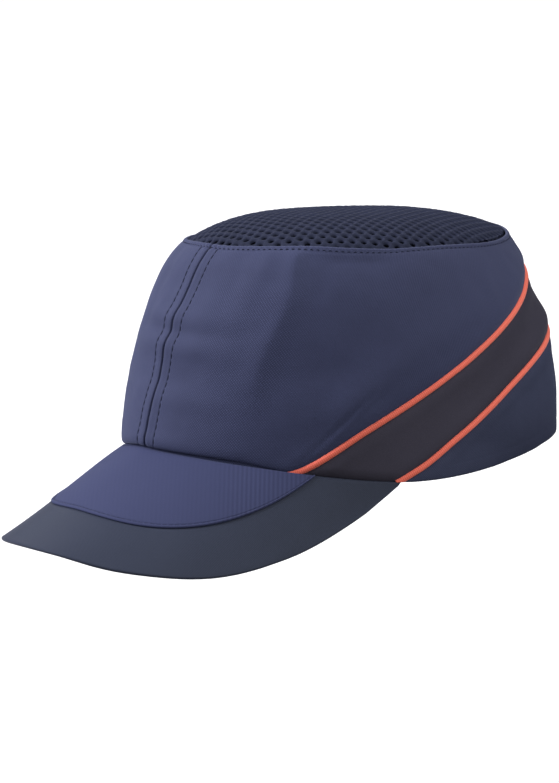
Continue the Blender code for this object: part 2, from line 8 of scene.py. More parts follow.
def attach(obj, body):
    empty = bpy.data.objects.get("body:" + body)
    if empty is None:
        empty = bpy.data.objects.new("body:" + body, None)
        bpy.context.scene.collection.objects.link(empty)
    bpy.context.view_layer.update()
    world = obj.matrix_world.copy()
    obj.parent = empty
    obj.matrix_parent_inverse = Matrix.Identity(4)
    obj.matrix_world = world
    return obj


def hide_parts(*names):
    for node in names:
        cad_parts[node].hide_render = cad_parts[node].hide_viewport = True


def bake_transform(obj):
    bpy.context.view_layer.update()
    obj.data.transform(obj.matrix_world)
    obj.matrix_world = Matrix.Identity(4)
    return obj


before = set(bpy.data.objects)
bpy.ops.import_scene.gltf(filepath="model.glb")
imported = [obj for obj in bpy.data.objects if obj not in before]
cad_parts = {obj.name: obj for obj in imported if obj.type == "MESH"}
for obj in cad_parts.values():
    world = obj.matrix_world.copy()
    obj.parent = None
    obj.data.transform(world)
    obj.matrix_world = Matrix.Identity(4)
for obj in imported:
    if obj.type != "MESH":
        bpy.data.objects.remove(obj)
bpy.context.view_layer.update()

MM = 0.001
scene = bpy.context.scene
scene.view_settings.view_transform = "Standard"
SIDES = (("left", 1.0), ("right", -1.0))

# ------------------------------------------------------------------ the cap's surfaces
# Millimetres and degrees, in the frame of the CAD: the front is -Y, the wearer's left +X.
UPPER = np.array(((44.5, 4.1), (48.5, 5.9), (52, 8.9), (56, 13.1), (64, 21.8), (75, 32.1), (87, 43.1), (99, 54.9),
                  (110, 64.4), (123, 73.5), (133, 78.8), (150, 84.0), (180, 86.5)), float)
LOWER = np.array(((74, 0.2), (82, 7.3), (93, 19.8), (107, 35.3), (117, 43.4),
                  (126, 48.4), (135, 51.9), (150, 55.5), (180, 58.0)), float)


def sp(value, fullness):
    return np.copysign(np.abs(value) ** (2.0 / fullness), value)


def ease(low, high, value):
    t = np.clip((value - low) / (high - low), 0.0, 1.0)
    return t * t * (3.0 - 2.0 * t)


def mix(a, b, t):
    return a + (b - a) * t


def hill(value, centre, width):
    return np.exp(-((value - centre) / width) ** 2)


def unit(v):
    return v / np.maximum(np.linalg.norm(v, axis=-1, keepdims=True), 1e-12)


def stack(x, y, z):
    return np.stack(np.broadcast_arrays(x, y, z), -1)


def station(table, angle):
    """Height of the smooth line through the stations, carried on straight below the first."""
    xs, ys = table[:, 0], table[:, 1]
    slope = np.zeros(len(xs))
    slope[0] = (ys[1] - ys[0]) / (xs[1] - xs[0])
    slope[1:-1] = (ys[2:] - ys[:-2]) / (xs[2:] - xs[:-2])
    angle = np.abs(np.asarray(angle, float))
    angle = np.where(angle > 180.0, 360.0 - angle, angle)
    a = np.clip(angle, xs[0], xs[-1])
    k = np.clip(np.searchsorted(xs, a, side="left") - 1, 0, len(xs) - 2)
    w = xs[k + 1] - xs[k]
    t = (a - xs[k]) / w
    h = ((2 * t ** 3 - 3 * t ** 2 + 1) * ys[k] + (t ** 3 - 2 * t ** 2 + t) * w * slope[k]
         + (3 * t ** 2 - 2 * t ** 3) * ys[k + 1] + (t ** 3 - t ** 2) * w * slope[k + 1])
    return h + np.minimum(angle - xs[0], 0.0) * slope[0]


def rim_height(angle):
    a = np.abs(np.asarray(angle, float))
    a = np.where(a > 180.0, 360.0 - a, a)
    wave = np.maximum(0.5 + 0.5 * np.cos(np.pi * np.minimum(a, 78.0) / 78.0), 0.0)
    return np.where(a < 78.0, 10.6 * wave ** 0.65, 7.5 * ease(84.0, 136.0, a))


facing = [1.0]      # the side that is being made from angles above zero


def crown_lift(angle):
    """How much higher the soft crown seam stands over the ears, most on the wearer's left."""
    a = np.asarray(angle, float)
    a = facing[0] * np.where(a > 180.0, a - 360.0, a)
    return (4.0 * ease(0.0, 52.0, a) * (1.0 - ease(86.0, 150.0, a))
            + 1.6 * ease(30.0, 80.0, -a) * (1.0 - ease(95.0, 140.0, -a)))


def seam_height(angle):
    c = np.cos(np.radians(angle))
    return 93.9 - 1.3 * c + 4.7 * c * c + crown_lift(angle)


def rim_plan(angle):
    c, s = np.cos(np.radians(angle)), np.sin(np.radians(angle))
    fullness = mix(2.36, 1.80, (1.0 + c) / 2.0)
    return 87.5 * sp(s, fullness), -np.where(c > 0, 103.9, 105.7) * sp(c, fullness)


def seam_plan(angle):
    c, s = np.cos(np.radians(angle)), np.sin(np.radians(angle))
    return 65.1 * s, -np.where(c > 0, 67.2, 84.5) * c


def wall(angle, height):
    """Point of the cap's outer surface at an angle from the front and a height."""
    angle, height = np.broadcast_arrays(np.asarray(angle, float), np.asarray(height, float))
    c = np.cos(np.radians(angle))
    low, high = rim_height(angle), seam_height(angle)
    v = np.clip((height - low) / (high - low), 0.0, 1.0)
    front, rear = np.maximum(c, 0.0) ** 2, np.maximum(-c, 0.0) ** 2
    lean = 0.0
    for weight, p, q in ((front, 1.41, 0.73), (rear, 1.90, 0.99), (1.0 - front - rear, 3.17, 0.70)):
        lean = lean + weight * (1.0 - np.maximum(1.0 - v ** p, 0.0) ** q)
    (x0, y0), (x1, y1) = rim_plan(angle), seam_plan(angle)
    return stack(mix(x0, x1, lean), mix(y0, y1, lean), height)


def wall_normal(angle, height):
    low, high = rim_height(angle), seam_height(angle)
    height = np.clip(height, low, high)
    along = wall(angle + 0.3, height) - wall(angle - 0.3, height)
    up = wall(angle, np.minimum(height + 0.4, high)) - wall(angle, np.maximum(height - 0.4, low))
    return unit(np.cross(along, up))


def wall_out(angle, height, out):
    return wall(angle, height) + wall_normal(angle, height) * np.asarray(out)[..., None]


def angle_at(x, height):
    """The angle, behind the ears on the wearer's left, where the wall reaches x."""
    x, height = np.broadcast_arrays(np.asarray(x, float), np.asarray(height, float))
    low, high = np.full(x.shape, 90.0), np.full(x.shape, 180.0)
    for _ in range(45):
        middle = (low + high) / 2
        out = wall(middle, height)[..., 0] > x
        low, high = np.where(out, middle, low), np.where(out, high, middle)
    return (low + high) / 2


def line_lean(table, angle):
    """Length up the wall for each millimetre square to a slanting seam."""
    a, b = wall(angle - 0.5, station(table, angle - 0.5)), wall(angle + 0.5, station(table, angle + 0.5))
    run = np.hypot(b[..., 0] - a[..., 0], b[..., 1] - a[..., 1])
    return np.hypot(1.0, (b[..., 2] - a[..., 2]) / np.maximum(run, 1e-6))


def dome(angle, r):
    x, y = seam_plan(angle)
    return stack(x * r, mix(-5.0, y, r),
                 96.25 + (seam_height(angle) - 96.25) * r * r + 13.0 * (1.0 - r ** 3))


SLOPE = math.radians(32.8)


def peak(x, s):
    """Top of the peak at x across and s down the slope from the rim's front."""
    return stack(x, -103.9 - s * math.cos(SLOPE),
                 8.1 - s * math.sin(SLOPE) + 0.00131 * np.maximum(s, 0.0) ** 2
                 - 0.00617 * x * x - 2.46e-7 * x ** 4 - 1.6 * ease(76.0, 84.0, np.abs(x)))


def peak_inner(t):
    x, y = rim_plan(74.0 * t)
    return x, (-103.9 - y) / math.cos(SLOPE)


def peak_outer(t):
    turn = np.pi / 2 * t
    return (84.1 * sp(np.sin(turn), 2.16), -86.9 + 161.3 * sp(np.maximum(np.cos(turn), 0.0), 2.16))


def hang(t):
    """How much lower the soft cloth and the peak lie at the wearer's right front."""
    return 4.4 * np.sin(np.pi * np.clip(-np.asarray(t, float), 0.0, 1.0)) ** 2


def peak_top(t, k):
    """k runs from -1 (tucked under the rim) over 0 (the rim) to 1 (the peak's edge)."""
    t, k = np.broadcast_arrays(np.asarray(t, float), np.asarray(k, float))
    (x0, s0), (x1, s1) = peak_inner(t), peak_outer(t)
    kk = np.maximum(k, 0.0)
    p = np.array(peak(mix(x0, x1, kk), mix(s0, s1, kk)))
    p[..., 2] += (1.0 - kk) ** 2 * (rim_height(74.0 * t) - 0.6 - peak(x0, s0)[..., 2]) - (1.0 - kk) ** 3 * hang(t)
    p[..., 2] += kk ** 2 * (1.1 * hill(t, 0.16, 0.13) + 0.7 * hill(t, 0.43, 0.12) + 1.3 * hill(t, 0.88, 0.09))
    way = unit(stack(-p[..., 0], -p[..., 1], 0.0 * p[..., 0]))
    return p - np.minimum(k, 0.0)[..., None] * 4.4 * way


def peak_width(t):
    (x0, s0), (x1, s1) = peak_inner(t), peak_outer(t)
    return np.linalg.norm(peak(x1, s1) - peak(x0, s0), axis=-1)


def peak_normal(t, k):
    """Square to the peak's top; at the two corners, where its rays run together, the one from further in."""
    k = np.minimum(np.clip(k, 0.0, 1.0), 1.0 - 0.55 * ease(0.93, 0.985, np.abs(t)))
    along = peak_top(np.minimum(t + 0.01, 1.0), k) - peak_top(np.maximum(t - 0.01, -1.0), k)
    out = peak_top(t, np.maximum(k - 0.02, 0.0)) - peak_top(t, np.minimum(k + 0.02, 1.0))
    return unit(np.cross(along, out))


def border_line(t):
    """How far out the cloth cover reaches: where its edge crosses the ray t."""
    t = np.asarray(t, float)
    (x0, s0), (x1, s1) = peak_inner(t), peak_outer(t)

    def outside(k):
        x, s = mix(x0, x1, k), mix(s0, s1, k)
        return np.abs(x / 69.9) ** 2.36 + (np.maximum(s + 90.0, 0.0) / 133.0) ** 2.36 > 1.0

    low, high = np.zeros(t.shape), np.ones(t.shape)
    for _ in range(40):
        middle = (low + high) / 2
        out = outside(middle)
        low, high = np.where(out, low, middle), np.where(out, middle, high)
    return np.where(outside(np.zeros(t.shape)), -1.0, low)


def arch(turn, grow):
    """Point of the rear opening's edge, as distance from the middle and height."""
    return ((36.0 + grow) * sp(np.cos(turn), 2.3), 7.5 + (40.5 + grow) * sp(np.sin(turn), 2.3))


# Runs round the back at the strap's level, to the wearer's left.
_back = wall(np.linspace(120.0, 240.0, 1921), 22.0)
_run = np.concatenate(([0.0], np.cumsum(np.linalg.norm(np.diff(_back, axis=0), axis=1))))
_run = _run[-1] / 2 - _run
_tan = unit(np.gradient(_back, axis=0))


def round_back(run, out, height):
    run = np.asarray(run, float)
    p = [np.interp(-run, -_run, _back[:, i]) for i in (0, 1)]
    t = [np.interp(-run, -_run, _tan[:, i]) for i in (0, 1)]
    length = np.hypot(*t)
    return stack(p[0] + t[1] / length * out, p[1] - t[0] / length * out, height)


def shell_turn(height):
    return np.arcsin(np.clip((height - 20.0) / 83.0, 0.0, 1.0) ** 1.3)


def shell(angle, turn):
    angle, turn = np.broadcast_arrays(np.asarray(angle, float), np.asarray(turn, float))
    c, s = np.cos(np.radians(angle)), np.sin(np.radians(angle))
    fullness = mix(2.25, 1.86, (1.0 + c) / 2.0)
    reach = np.maximum(np.cos(turn), 0.0) ** (2.0 / 2.4)
    return stack(82.5 * sp(s, fullness) * reach,
                 -np.where(c > 0, 93.0, 97.5) * sp(c, fullness) * reach,
                 mix(20.0, 103.0, np.sin(turn) ** (2.0 / 2.6)))


def shell_in(angle, turn, inward):
    low, high = np.maximum(turn - 0.01, 0.02), np.minimum(turn + 0.01, math.pi / 2 - 0.002)
    n = unit(np.cross(shell(angle + 0.5, turn) - shell(angle - 0.5, turn), shell(angle, high) - shell(angle, low)))
    return shell(angle, turn) - n * np.asarray(inward)[..., None]


def shell_edge(angle):
    c = np.cos(np.radians(angle))
    return 38.0 + 5.0 * np.maximum(c, 0.0) ** 2 + 14.0 * np.maximum(-c, 0.0) ** 2


def ripple(points, size, seed):
    """Smooth noise at each point, about -1 to 1."""
    flat = points.reshape(-1, 3) / size + np.array((seed * 7.3, seed * 3.1, seed * 1.7))
    return np.array([noise.noise(Vector(p)) for p in flat]).reshape(points.shape[:-1])


# ------------------------------------------------------------------ materials
class Look:
    """A Principled material with a few short ways to add nodes."""

    def __init__(self, name, rough=0.7, **values):
        self.material = bpy.data.materials.new(name)
        self.material.use_nodes = True
        self.tree = self.material.node_tree
        self.shader = self.tree.nodes["Principled BSDF"]
        self.set("Roughness", rough)
        for key, value in values.items():
            self.set(key.replace("_", " "), value)

    def set(self, socket, value):
        self.put(self.shader.inputs[socket], value)

    def put(self, socket, value):
        if isinstance(value, bpy.types.NodeSocket):
            self.tree.links.new(value, socket)
        elif isinstance(value, tuple) and len(value) == 3 and socket.type == "RGBA":
            socket.default_value = (*value, 1.0)
        else:
            socket.default_value = value

    def node(self, kind, **props):
        made = self.tree.nodes.new(kind)
        for key, value in props.items():
            setattr(made, key, value)
        return made

    def math(self, op, *values):
        made = self.node("ShaderNodeMath", operation=op)
        for socket, value in zip(made.inputs, values):
            self.put(socket, value)
        return made.outputs[0]

    def weave(self):
        """The piece's own cloth coordinates in millimetres."""
        split = self.node("ShaderNodeSeparateXYZ")
        self.put(split.inputs[0], self.node("ShaderNodeUVMap", uv_map="weave").outputs[0])
        return split.outputs[0], split.outputs[1]

    def place(self):
        return self.node("ShaderNodeTexCoord").outputs["Object"]

    def noise(self, size, detail=2.0, rough=0.5, where=None):
        """Noise of about the given size in millimetres, 0 to 1."""
        made = self.node("ShaderNodeTexNoise")
        self.put(made.inputs["Vector"], where or self.place())
        self.put(made.inputs["Scale"], 1.0 / (size * MM))
        self.put(made.inputs["Detail"], detail)
        self.put(made.inputs["Roughness"], rough)
        return made.outputs["Fac"]

    def wave(self, along, pitch, shift=0.0):
        """A sine of the given pitch in millimetres, 0 to 1."""
        turn = self.math("MULTIPLY_ADD", along, 2.0 * math.pi / pitch, shift)
        return self.math("MULTIPLY_ADD", self.math("SINE", turn), 0.5, 0.5)

    def step(self, value, low, high):
        """Rises smoothly from 0 at low to 1 at high."""
        made = self.node("ShaderNodeMapRange", interpolation_type="SMOOTHSTEP")
        for key, given in (("Value", value), ("From Min", low), ("From Max", high)):
            self.put(made.inputs[key], given)
        return made.outputs[0]

    def blend(self, factor, a, b):
        made = self.node("ShaderNodeMix", data_type="RGBA")
        self.put(made.inputs[0], factor)
        self.put(made.inputs[6], a)
        self.put(made.inputs[7], b)
        return made.outputs[2]

    def bump(self, height, depth, strength=1.0, under=None):
        made = self.node("ShaderNodeBump")
        made.inputs["Strength"].default_value = strength
        made.inputs["Distance"].default_value = depth * MM
        self.put(made.inputs["Height"], height)
        if under is not None:
            self.put(made.inputs["Normal"], under)
        return made.outputs[0]


def painted_weave_shade(look, u, v):
    """Painted shading of the weave: its colour contrast is raised between about 8 and 50 degrees from the front on both
    sides, and less near the top.
    """
    split = look.node("ShaderNodeSeparateXYZ")
    look.put(split.inputs[0], look.place())
    x, y, z = split.outputs
    angle = look.math("ARCTAN2", look.math("ABSOLUTE", x), look.math("MULTIPLY", y, -1.0))
    low = look.math("MULTIPLY_ADD", look.step(z, 0.012, 0.055), -0.20, 0.20)
    grazed_band = look.math("SUBTRACT", look.step(angle, 0.14, 0.30), look.step(look.math("ADD", angle, low), 0.58, 0.90))
    grazed_band = look.math("MULTIPLY", grazed_band, look.math("SUBTRACT", 1.0, look.step(z, 0.078, 0.093)))
    return look.math("MULTIPLY_ADD", grazed_band, 1.35, 0.35)


def painted_rib_shade(look, u, v):
    """Painted shading of the ribs: their colour contrast rises along the weave's first coordinate, towards the wearer's
    left, where light grazes the cover.
    """
    return look.math("MULTIPLY_ADD", look.step(u, -54.0, -36.0), 1.15, 0.2)


def cloth(name, dark, light, pitch, depth, rough=0.78, sheen=0.10, ribs=None, tint=(0.5, 0.55, 0.75), gloss=0.18, slow=0.18, below=None,
          show=None, fade=None):
    """Woven cloth: floats of thread in staggered rows, or ribs, with slow changes of tone.
    show says how much of the weave shows at each place, as painted shading of the weave, and fade how much darker the
    cloth gets from one height to another, or only towards the back where two distances back follow, as painted shade;
    below is a darker colour past v = 0, painted shade under an edge."""
    look = Look(name, rough, Sheen_Weight=sheen, Sheen_Roughness=0.45, Sheen_Tint=(*tint, 1.0),
                Specular_IOR_Level=gloss)
    u, v = look.weave()
    if ribs:
        weave = look.wave(u, ribs)
        if pitch:
            weave = look.math("MULTIPLY_ADD", look.wave(v, pitch), 0.35, look.math("MULTIPLY", weave, 0.65))
    else:
        a = look.wave(look.math("ADD", u, v), pitch)
        b = look.wave(look.math("SUBTRACT", u, v), pitch)
        weave = look.math("MULTIPLY", a, b)
    broad = look.noise(22.0, 3.0, 0.55)
    fine = look.noise(0.5, 2.0, 0.6)
    middle = 0.5 if ribs else 0.25
    amount = look.math("MULTIPLY", show(look, u, v), 0.60) if show else 0.60
    thread_tone = look.math("MULTIPLY_ADD", look.math("SUBTRACT", weave, middle), amount, 0.60 * middle)
    tone = look.math("ADD", thread_tone, look.math("MULTIPLY", fine, 0.36))
    tone = look.math("MULTIPLY_ADD", look.math("SUBTRACT", broad, 0.5), slow, tone)
    colour = look.blend(tone, dark, light)
    if fade:
        split = look.node("ShaderNodeSeparateXYZ")
        look.put(split.inputs[0], look.place())
        # painted shade: darker by fade's amount between its two heights, and towards the back if two distances back are
        # given
        painted_shade = look.math("MULTIPLY", look.step(split.outputs[2], fade[0], fade[1]), fade[2])
        if len(fade) > 3:
            painted_shade = look.math("MULTIPLY", painted_shade, look.step(split.outputs[1], fade[3], fade[4]))
        colour = look.blend(painted_shade, colour, (0.0, 0.0, 0.0))
    # painted shade: past v = 0 the colour turns to below's darker colour, as shade under an edge
    if below:
        edge = look.math("MULTIPLY_ADD", v, 1.2, 0.5)
        edge.node.use_clamp = True
        colour = look.blend(edge, colour, below)
    look.set("Base Color", colour)
    low = look.bump(look.noise(9.0, 3.0, 0.5), 0.2, 0.25)
    look.set("Normal", look.bump(weave, depth, 0.8, low))
    look.set("Roughness", look.math("MULTIPLY_ADD", fine, 0.18, rough - 0.09))
    return look.material


# The navy cloth's weave contrast carries painted shading near the front (show).
NAVY = cloth("navy cloth", (0.0225, 0.0262, 0.0625), (0.0575, 0.0680, 0.145), 1.25, 0.08, 0.80, show=painted_weave_shade)
# The rear panels have their own copy of the navy cloth, lighter and greyer than the front's, which paints light on
# them; its fade paints shade, darker towards the lower back.
REAR = cloth("navy cloth, rear", (0.0255, 0.0300, 0.0590), (0.079, 0.089, 0.151), 0.9, 0.04, 0.85, 0.0, gloss=0.02,
             fade=(0.030, 0.002, 0.27, -0.010, 0.055))
# The ribbed cloth's rib contrast carries painted shading towards one end (show).
RIBBED = cloth("navy ribbed cloth", (0.0330, 0.0382, 0.0865), (0.0430, 0.0500, 0.111), None, 0.018, 0.80, 0.06, ribs=1.90, gloss=0.08,
               show=painted_rib_shade)
# The satin's fade paints shade: up to about a quarter darker towards the top, to even out the light that falls there.
SATIN = cloth("black satin", (0.0345, 0.0322, 0.0472), (0.0818, 0.0768, 0.1108), 0.6, 0.02, 0.65, 0.0, gloss=0.02,
              fade=(0.020, 0.075, 0.24))
# The border's below colour paints shade: darker round the lower half of its edge and underneath.
CHARCOAL = cloth("charcoal border", (0.0248, 0.0295, 0.0482), (0.0475, 0.0555, 0.0845), 0.7, 0.03, 0.50, 0.0, gloss=0.05,
                 below=(0.0075, 0.0085, 0.013))
TERRY = cloth("sweatband cloth", (0.012, 0.013, 0.018), (0.040, 0.042, 0.054), 1.4, 0.16, 0.92, 0.40)
WEBBING = cloth("webbing", (0.007, 0.008, 0.010), (0.030, 0.031, 0.036), 1.3, 0.14, 0.72, 0.25, ribs=1.6)
TAPE = cloth("seam tape", (0.0215, 0.0248, 0.0510), (0.0540, 0.0620, 0.1200), 1.0, 0.06, 0.85, 0.0, gloss=0.04)
CORAL = cloth("coral piping", (0.60, 0.088, 0.058), (0.97, 0.218, 0.155), 0.8, 0.05, 0.62, 0.25, ribs=0.9,
              tint=(1.0, 0.6, 0.5))


def knit(name, dark, light):
    look = Look(name, 0.72, Sheen_Weight=0.02, Sheen_Roughness=0.5, Sheen_Tint=(0.5, 0.55, 0.8, 1.0),
                Specular_IOR_Level=0.05)
    fine = look.noise(0.45, 3.0, 0.65)
    slow = look.noise(14.0, 2.0)
    look.set("Base Color", look.blend(look.math("MULTIPLY_ADD", slow, 0.4, look.math("MULTIPLY", fine, 0.6)), dark, light))
    look.set("Normal", look.bump(fine, 0.12, 0.7))
    look.set("Roughness", look.math("MULTIPLY_ADD", fine, 0.2, 0.62))
    return look.material


def thread(name, dark, light):
    look = Look(name, 0.7, Specular_IOR_Level=0.12)
    fine = look.noise(0.35, 2.0)
    look.set("Base Color", look.blend(fine, dark, light))
    look.set("Normal", look.bump(fine, 0.05, 0.6))
    return look.material


def moulded(name, dark, light, rough, grain, depth):
    """Moulded plastic with a spark-eroded grain and slow changes of gloss."""
    look = Look(name, rough, Specular_IOR_Level=0.45)
    fine = look.noise(grain, 2.0, 0.6)
    slow = look.noise(30.0, 3.0)
    look.set("Base Color", look.blend(look.math("MULTIPLY_ADD", fine, 0.4, look.math("MULTIPLY", slow, 0.6)), dark, light))
    look.set("Roughness", look.math("MULTIPLY_ADD", slow, 0.16, rough - 0.08))
    look.set("Normal", look.bump(fine, depth, 0.6))
    return look.material


def foam():
    look = Look("cross-linked foam", 0.9, Sheen_Weight=0.15)
    cell = look.node("ShaderNodeTexVoronoi")
    look.put(cell.inputs["Vector"], look.place())
    look.put(cell.inputs["Scale"], 1.0 / (0.9 * MM))
    fine = cell.outputs["Distance"]
    slow = look.noise(18.0, 3.0)
    look.set("Base Color", look.blend(look.math("MULTIPLY_ADD", fine, 0.5, look.math("MULTIPLY", slow, 0.5)),
                                      (0.016, 0.017, 0.020), (0.060, 0.062, 0.070)))
    look.set("Normal", look.bump(fine, 0.12, 0.6))
    look.set("Roughness", look.math("MULTIPLY_ADD", slow, 0.14, 0.82))
    return look.material


def fuzz(name, dark, light):
    look = Look(name, 0.95, Sheen_Weight=0.5, Sheen_Roughness=0.6)
    fine = look.noise(0.5, 4.0, 0.7)
    look.set("Base Color", look.blend(fine, dark, light))
    look.set("Normal", look.bump(fine, 0.35, 0.9))
    look.set("Roughness", look.math("MULTIPLY_ADD", fine, 0.1, 0.88))
    return look.material


KNIT = knit("crown mesh knit", (0.0084, 0.0101, 0.0206), (0.0276, 0.0324, 0.0625))
LINING = knit("crown lining", (0.0055, 0.0065, 0.0112), (0.017, 0.019, 0.030))
NAVY_THREAD = thread("navy thread", (0.020, 0.024, 0.056), (0.048, 0.056, 0.118))
DARK_THREAD = thread("dark thread", (0.007, 0.0085, 0.022), (0.017, 0.021, 0.046))
BLACK_THREAD = thread("black thread", (0.003, 0.0035, 0.007), (0.011, 0.012, 0.020))
ABS = moulded("moulded shell plastic", (0.016, 0.017, 0.020), (0.040, 0.042, 0.048), 0.42, 0.7, 0.03)
ACETAL = moulded("ring plastic", (0.009, 0.009, 0.010), (0.022, 0.022, 0.025), 0.34, 0.5, 0.015)
BOARD = moulded("peak board", (0.030, 0.030, 0.034), (0.060, 0.060, 0.066), 0.6, 0.8, 0.03)
FOAM = foam()
LOOPS = fuzz("loop pile", (0.004, 0.004, 0.006), (0.022, 0.022, 0.026))
HOOKS = moulded("hook tape", (0.006, 0.006, 0.007), (0.018, 0.018, 0.020), 0.5, 0.5, 0.03)


# ------------------------------------------------------------------ mesh tools
def build(name, verts, faces, look, uv=None):
    data = bpy.data.meshes.new(name)
    data.from_pydata((np.asarray(verts) * MM).tolist(), [], [tuple(int(i) for i in f) for f in faces])
    if uv is not None:
        layer = data.uv_layers.new(name="weave")
        loops = np.empty(len(data.loops), np.int32)
        data.loops.foreach_get("vertex_index", loops)
        layer.uv.foreach_set("vector", np.asarray(uv, np.float32)[loops].ravel())
    data.materials.append(look)
    data.shade_smooth()
    data.update()
    ob = bpy.data.objects.new(name, data)
    scene.collection.objects.link(ob)
    return ob


def grid_faces(rows, columns, offset=0, closed=False, flip=False):
    """Quads of a grid of points numbered column by column."""
    n = np.arange(rows * columns).reshape(columns, rows) + offset
    m = np.roll(n, -1, axis=0) if closed else n[1:]
    a = n if closed else n[:-1]
    quads = np.stack((a[:, :-1], m[:, :-1], m[:, 1:], a[:, 1:]), -1).reshape(-1, 4)
    return quads[:, ::-1] if flip else quads


def closed_sheet(name, outer, inner, look, uv):
    """A closed sheet from matching grids of outer and inner points (columns, rows, 3)."""
    columns, rows = outer.shape[:2]
    count = columns * rows
    n = np.arange(count).reshape(columns, rows)
    m = n + count
    faces = [grid_faces(rows, columns), grid_faces(rows, columns, count, flip=True)]
    for a, b in ((n[:, 0], m[:, 0]), (m[:, -1], n[:, -1])):
        faces.append(np.stack((a[1:], a[:-1], b[:-1], b[1:]), -1))
    for a, b in ((m[0], n[0]), (n[-1], m[-1])):
        faces.append(np.stack((a[1:], a[:-1], b[:-1], b[1:]), -1))
    return build(name, np.concatenate((outer.reshape(-1, 3), inner.reshape(-1, 3))),
                 np.concatenate(faces), look, np.concatenate((uv.reshape(-1, 2), uv.reshape(-1, 2))))


def tube(name, points, normals, across, along, look, sides=14, cyclic=False, caps=True, full=2.0, foot=None):
    """A round or flattened cord: across is its half width, along its half depth on the normals.
    foot is a height at each point that the cord is cut off at."""
    points = np.asarray(points, float)
    count = len(points)
    across, along = np.broadcast_to(across, count), np.broadcast_to(along, count)
    if cyclic:
        tangent = unit(np.roll(points, -1, 0) - np.roll(points, 1, 0))
    else:
        tangent = unit(np.gradient(points, axis=0))
    n = unit(normals - tangent * (normals * tangent).sum(-1, keepdims=True))
    b = np.cross(tangent, n)
    turn = np.linspace(0.0, 2.0 * np.pi, sides, endpoint=False)
    ring = (points[:, None] + n[:, None] * (sp(np.sin(turn), full)[None, :, None] * along[:, None, None])
            + b[:, None] * (sp(np.cos(turn), full)[None, :, None] * across[:, None, None]))
    if foot is not None:
        low = np.asarray(foot)[:, None]
        ring[..., 2] = low + np.maximum(ring[..., 2] - low, 0.02 * (ring[..., 2] - low))
    ids = np.arange(count * sides).reshape(count, sides)
    nxt = np.roll(ids, -1, axis=0) if cyclic else ids[1:]
    cur = ids if cyclic else ids[:-1]
    faces = np.stack((cur, np.roll(cur, -1, 1), np.roll(nxt, -1, 1), nxt), -1).reshape(-1, 4)[:, ::-1].tolist()
    if caps and not cyclic:
        faces += [ids[0].tolist(), ids[-1][::-1].tolist()]
    length = np.concatenate(([0.0], np.cumsum(np.linalg.norm(np.diff(points, axis=0), axis=1))))
    girth = turn / (2 * np.pi) * np.pi * (across.mean() + along.mean())
    uv = stack(length[:, None] + 0 * girth, girth[None] + 0 * length[:, None], 0.0)[..., :2]
    return build(name, ring.reshape(-1, 3), faces, look, uv.reshape(-1, 2))


def wear(ob, body, slot, *nodes):
    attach(ob, body)
    if nodes:
        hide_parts(*nodes)
    return ob


def thread_row(rows, long=2.5, gap=0.9, radius=0.26, lift=0.16):
    """Stitches along lines of (points, normals): short thread loops whose ends go into the cloth."""
    verts, faces = [], []
    stations = np.array((0.0, 0.12, 0.35, 0.65, 0.88, 1.0))
    height = np.array((-0.9, 0.1, 1.0, 1.0, 0.1, -0.9))
    wide = np.array((0.55, 0.9, 1.0, 1.0, 0.9, 0.55))
    turn = np.linspace(0.0, 2.0 * np.pi, 6, endpoint=False)
    for points, normals in rows:
        points, normals = np.asarray(points, float), np.asarray(normals, float)
        length = np.concatenate(([0.0], np.cumsum(np.linalg.norm(np.diff(points, axis=0), axis=1))))
        count = max(int((length[-1] + gap) / (long + gap)), 1)
        pitch = (length[-1] + gap) / count
        for i in range(count):
            at = i * pitch + stations * (pitch - gap)
            p = np.stack([np.interp(at, length, points[:, k]) for k in range(3)], -1)
            n = unit(np.stack([np.interp(at, length, normals[:, k]) for k in range(3)], -1))
            t = unit(np.gradient(p, axis=0))
            b = np.cross(t, n)
            p = p + n * (height * (lift + radius) * 0.62)[:, None]
            ring = (p[:, None] + n[:, None] * (np.sin(turn)[None, :, None] * radius * wide[:, None, None])
                    + b[:, None] * (np.cos(turn)[None, :, None] * radius * wide[:, None, None]))
            base = len(verts) * 36
            ids = np.arange(36).reshape(6, 6) + base
            faces += np.stack((ids[:-1], np.roll(ids[:-1], -1, 1), np.roll(ids[1:], -1, 1), ids[1:]),
                              -1).reshape(-1, 4)[:, ::-1].tolist()
            faces += [ids[0].tolist(), ids[-1][::-1].tolist()]
            verts.append(ring.reshape(-1, 3))
    return np.concatenate(verts), faces


def stitching(name, rows, look, body="cap", slot="navy_cloth", **sizes):
    verts, faces = thread_row(rows, **sizes)
    ob = build(name, verts, faces, look)
    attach(ob, body)
    return ob


def area_of(grid):
    a, b = grid[1:, :-1] - grid[:-1, :-1], grid[:-1, 1:] - grid[:-1, :-1]
    return float(np.linalg.norm(np.cross(a, b), axis=-1).sum()) * 1e-6


def cloth_sheet(ob, outer):
    wide = np.linalg.norm(np.diff(outer, axis=0), axis=-1).sum(0).max() * MM
    tall = np.linalg.norm(np.diff(outer, axis=1), axis=-1).sum(1).max() * MM
    flat = (math.ceil(wide * 1000.0) * MM, math.ceil(tall * 1000.0) * MM)
    min(area_of(outer), flat[0] * flat[1])


# ------------------------------------------------------------------ cloth panels
THICK = 1.2


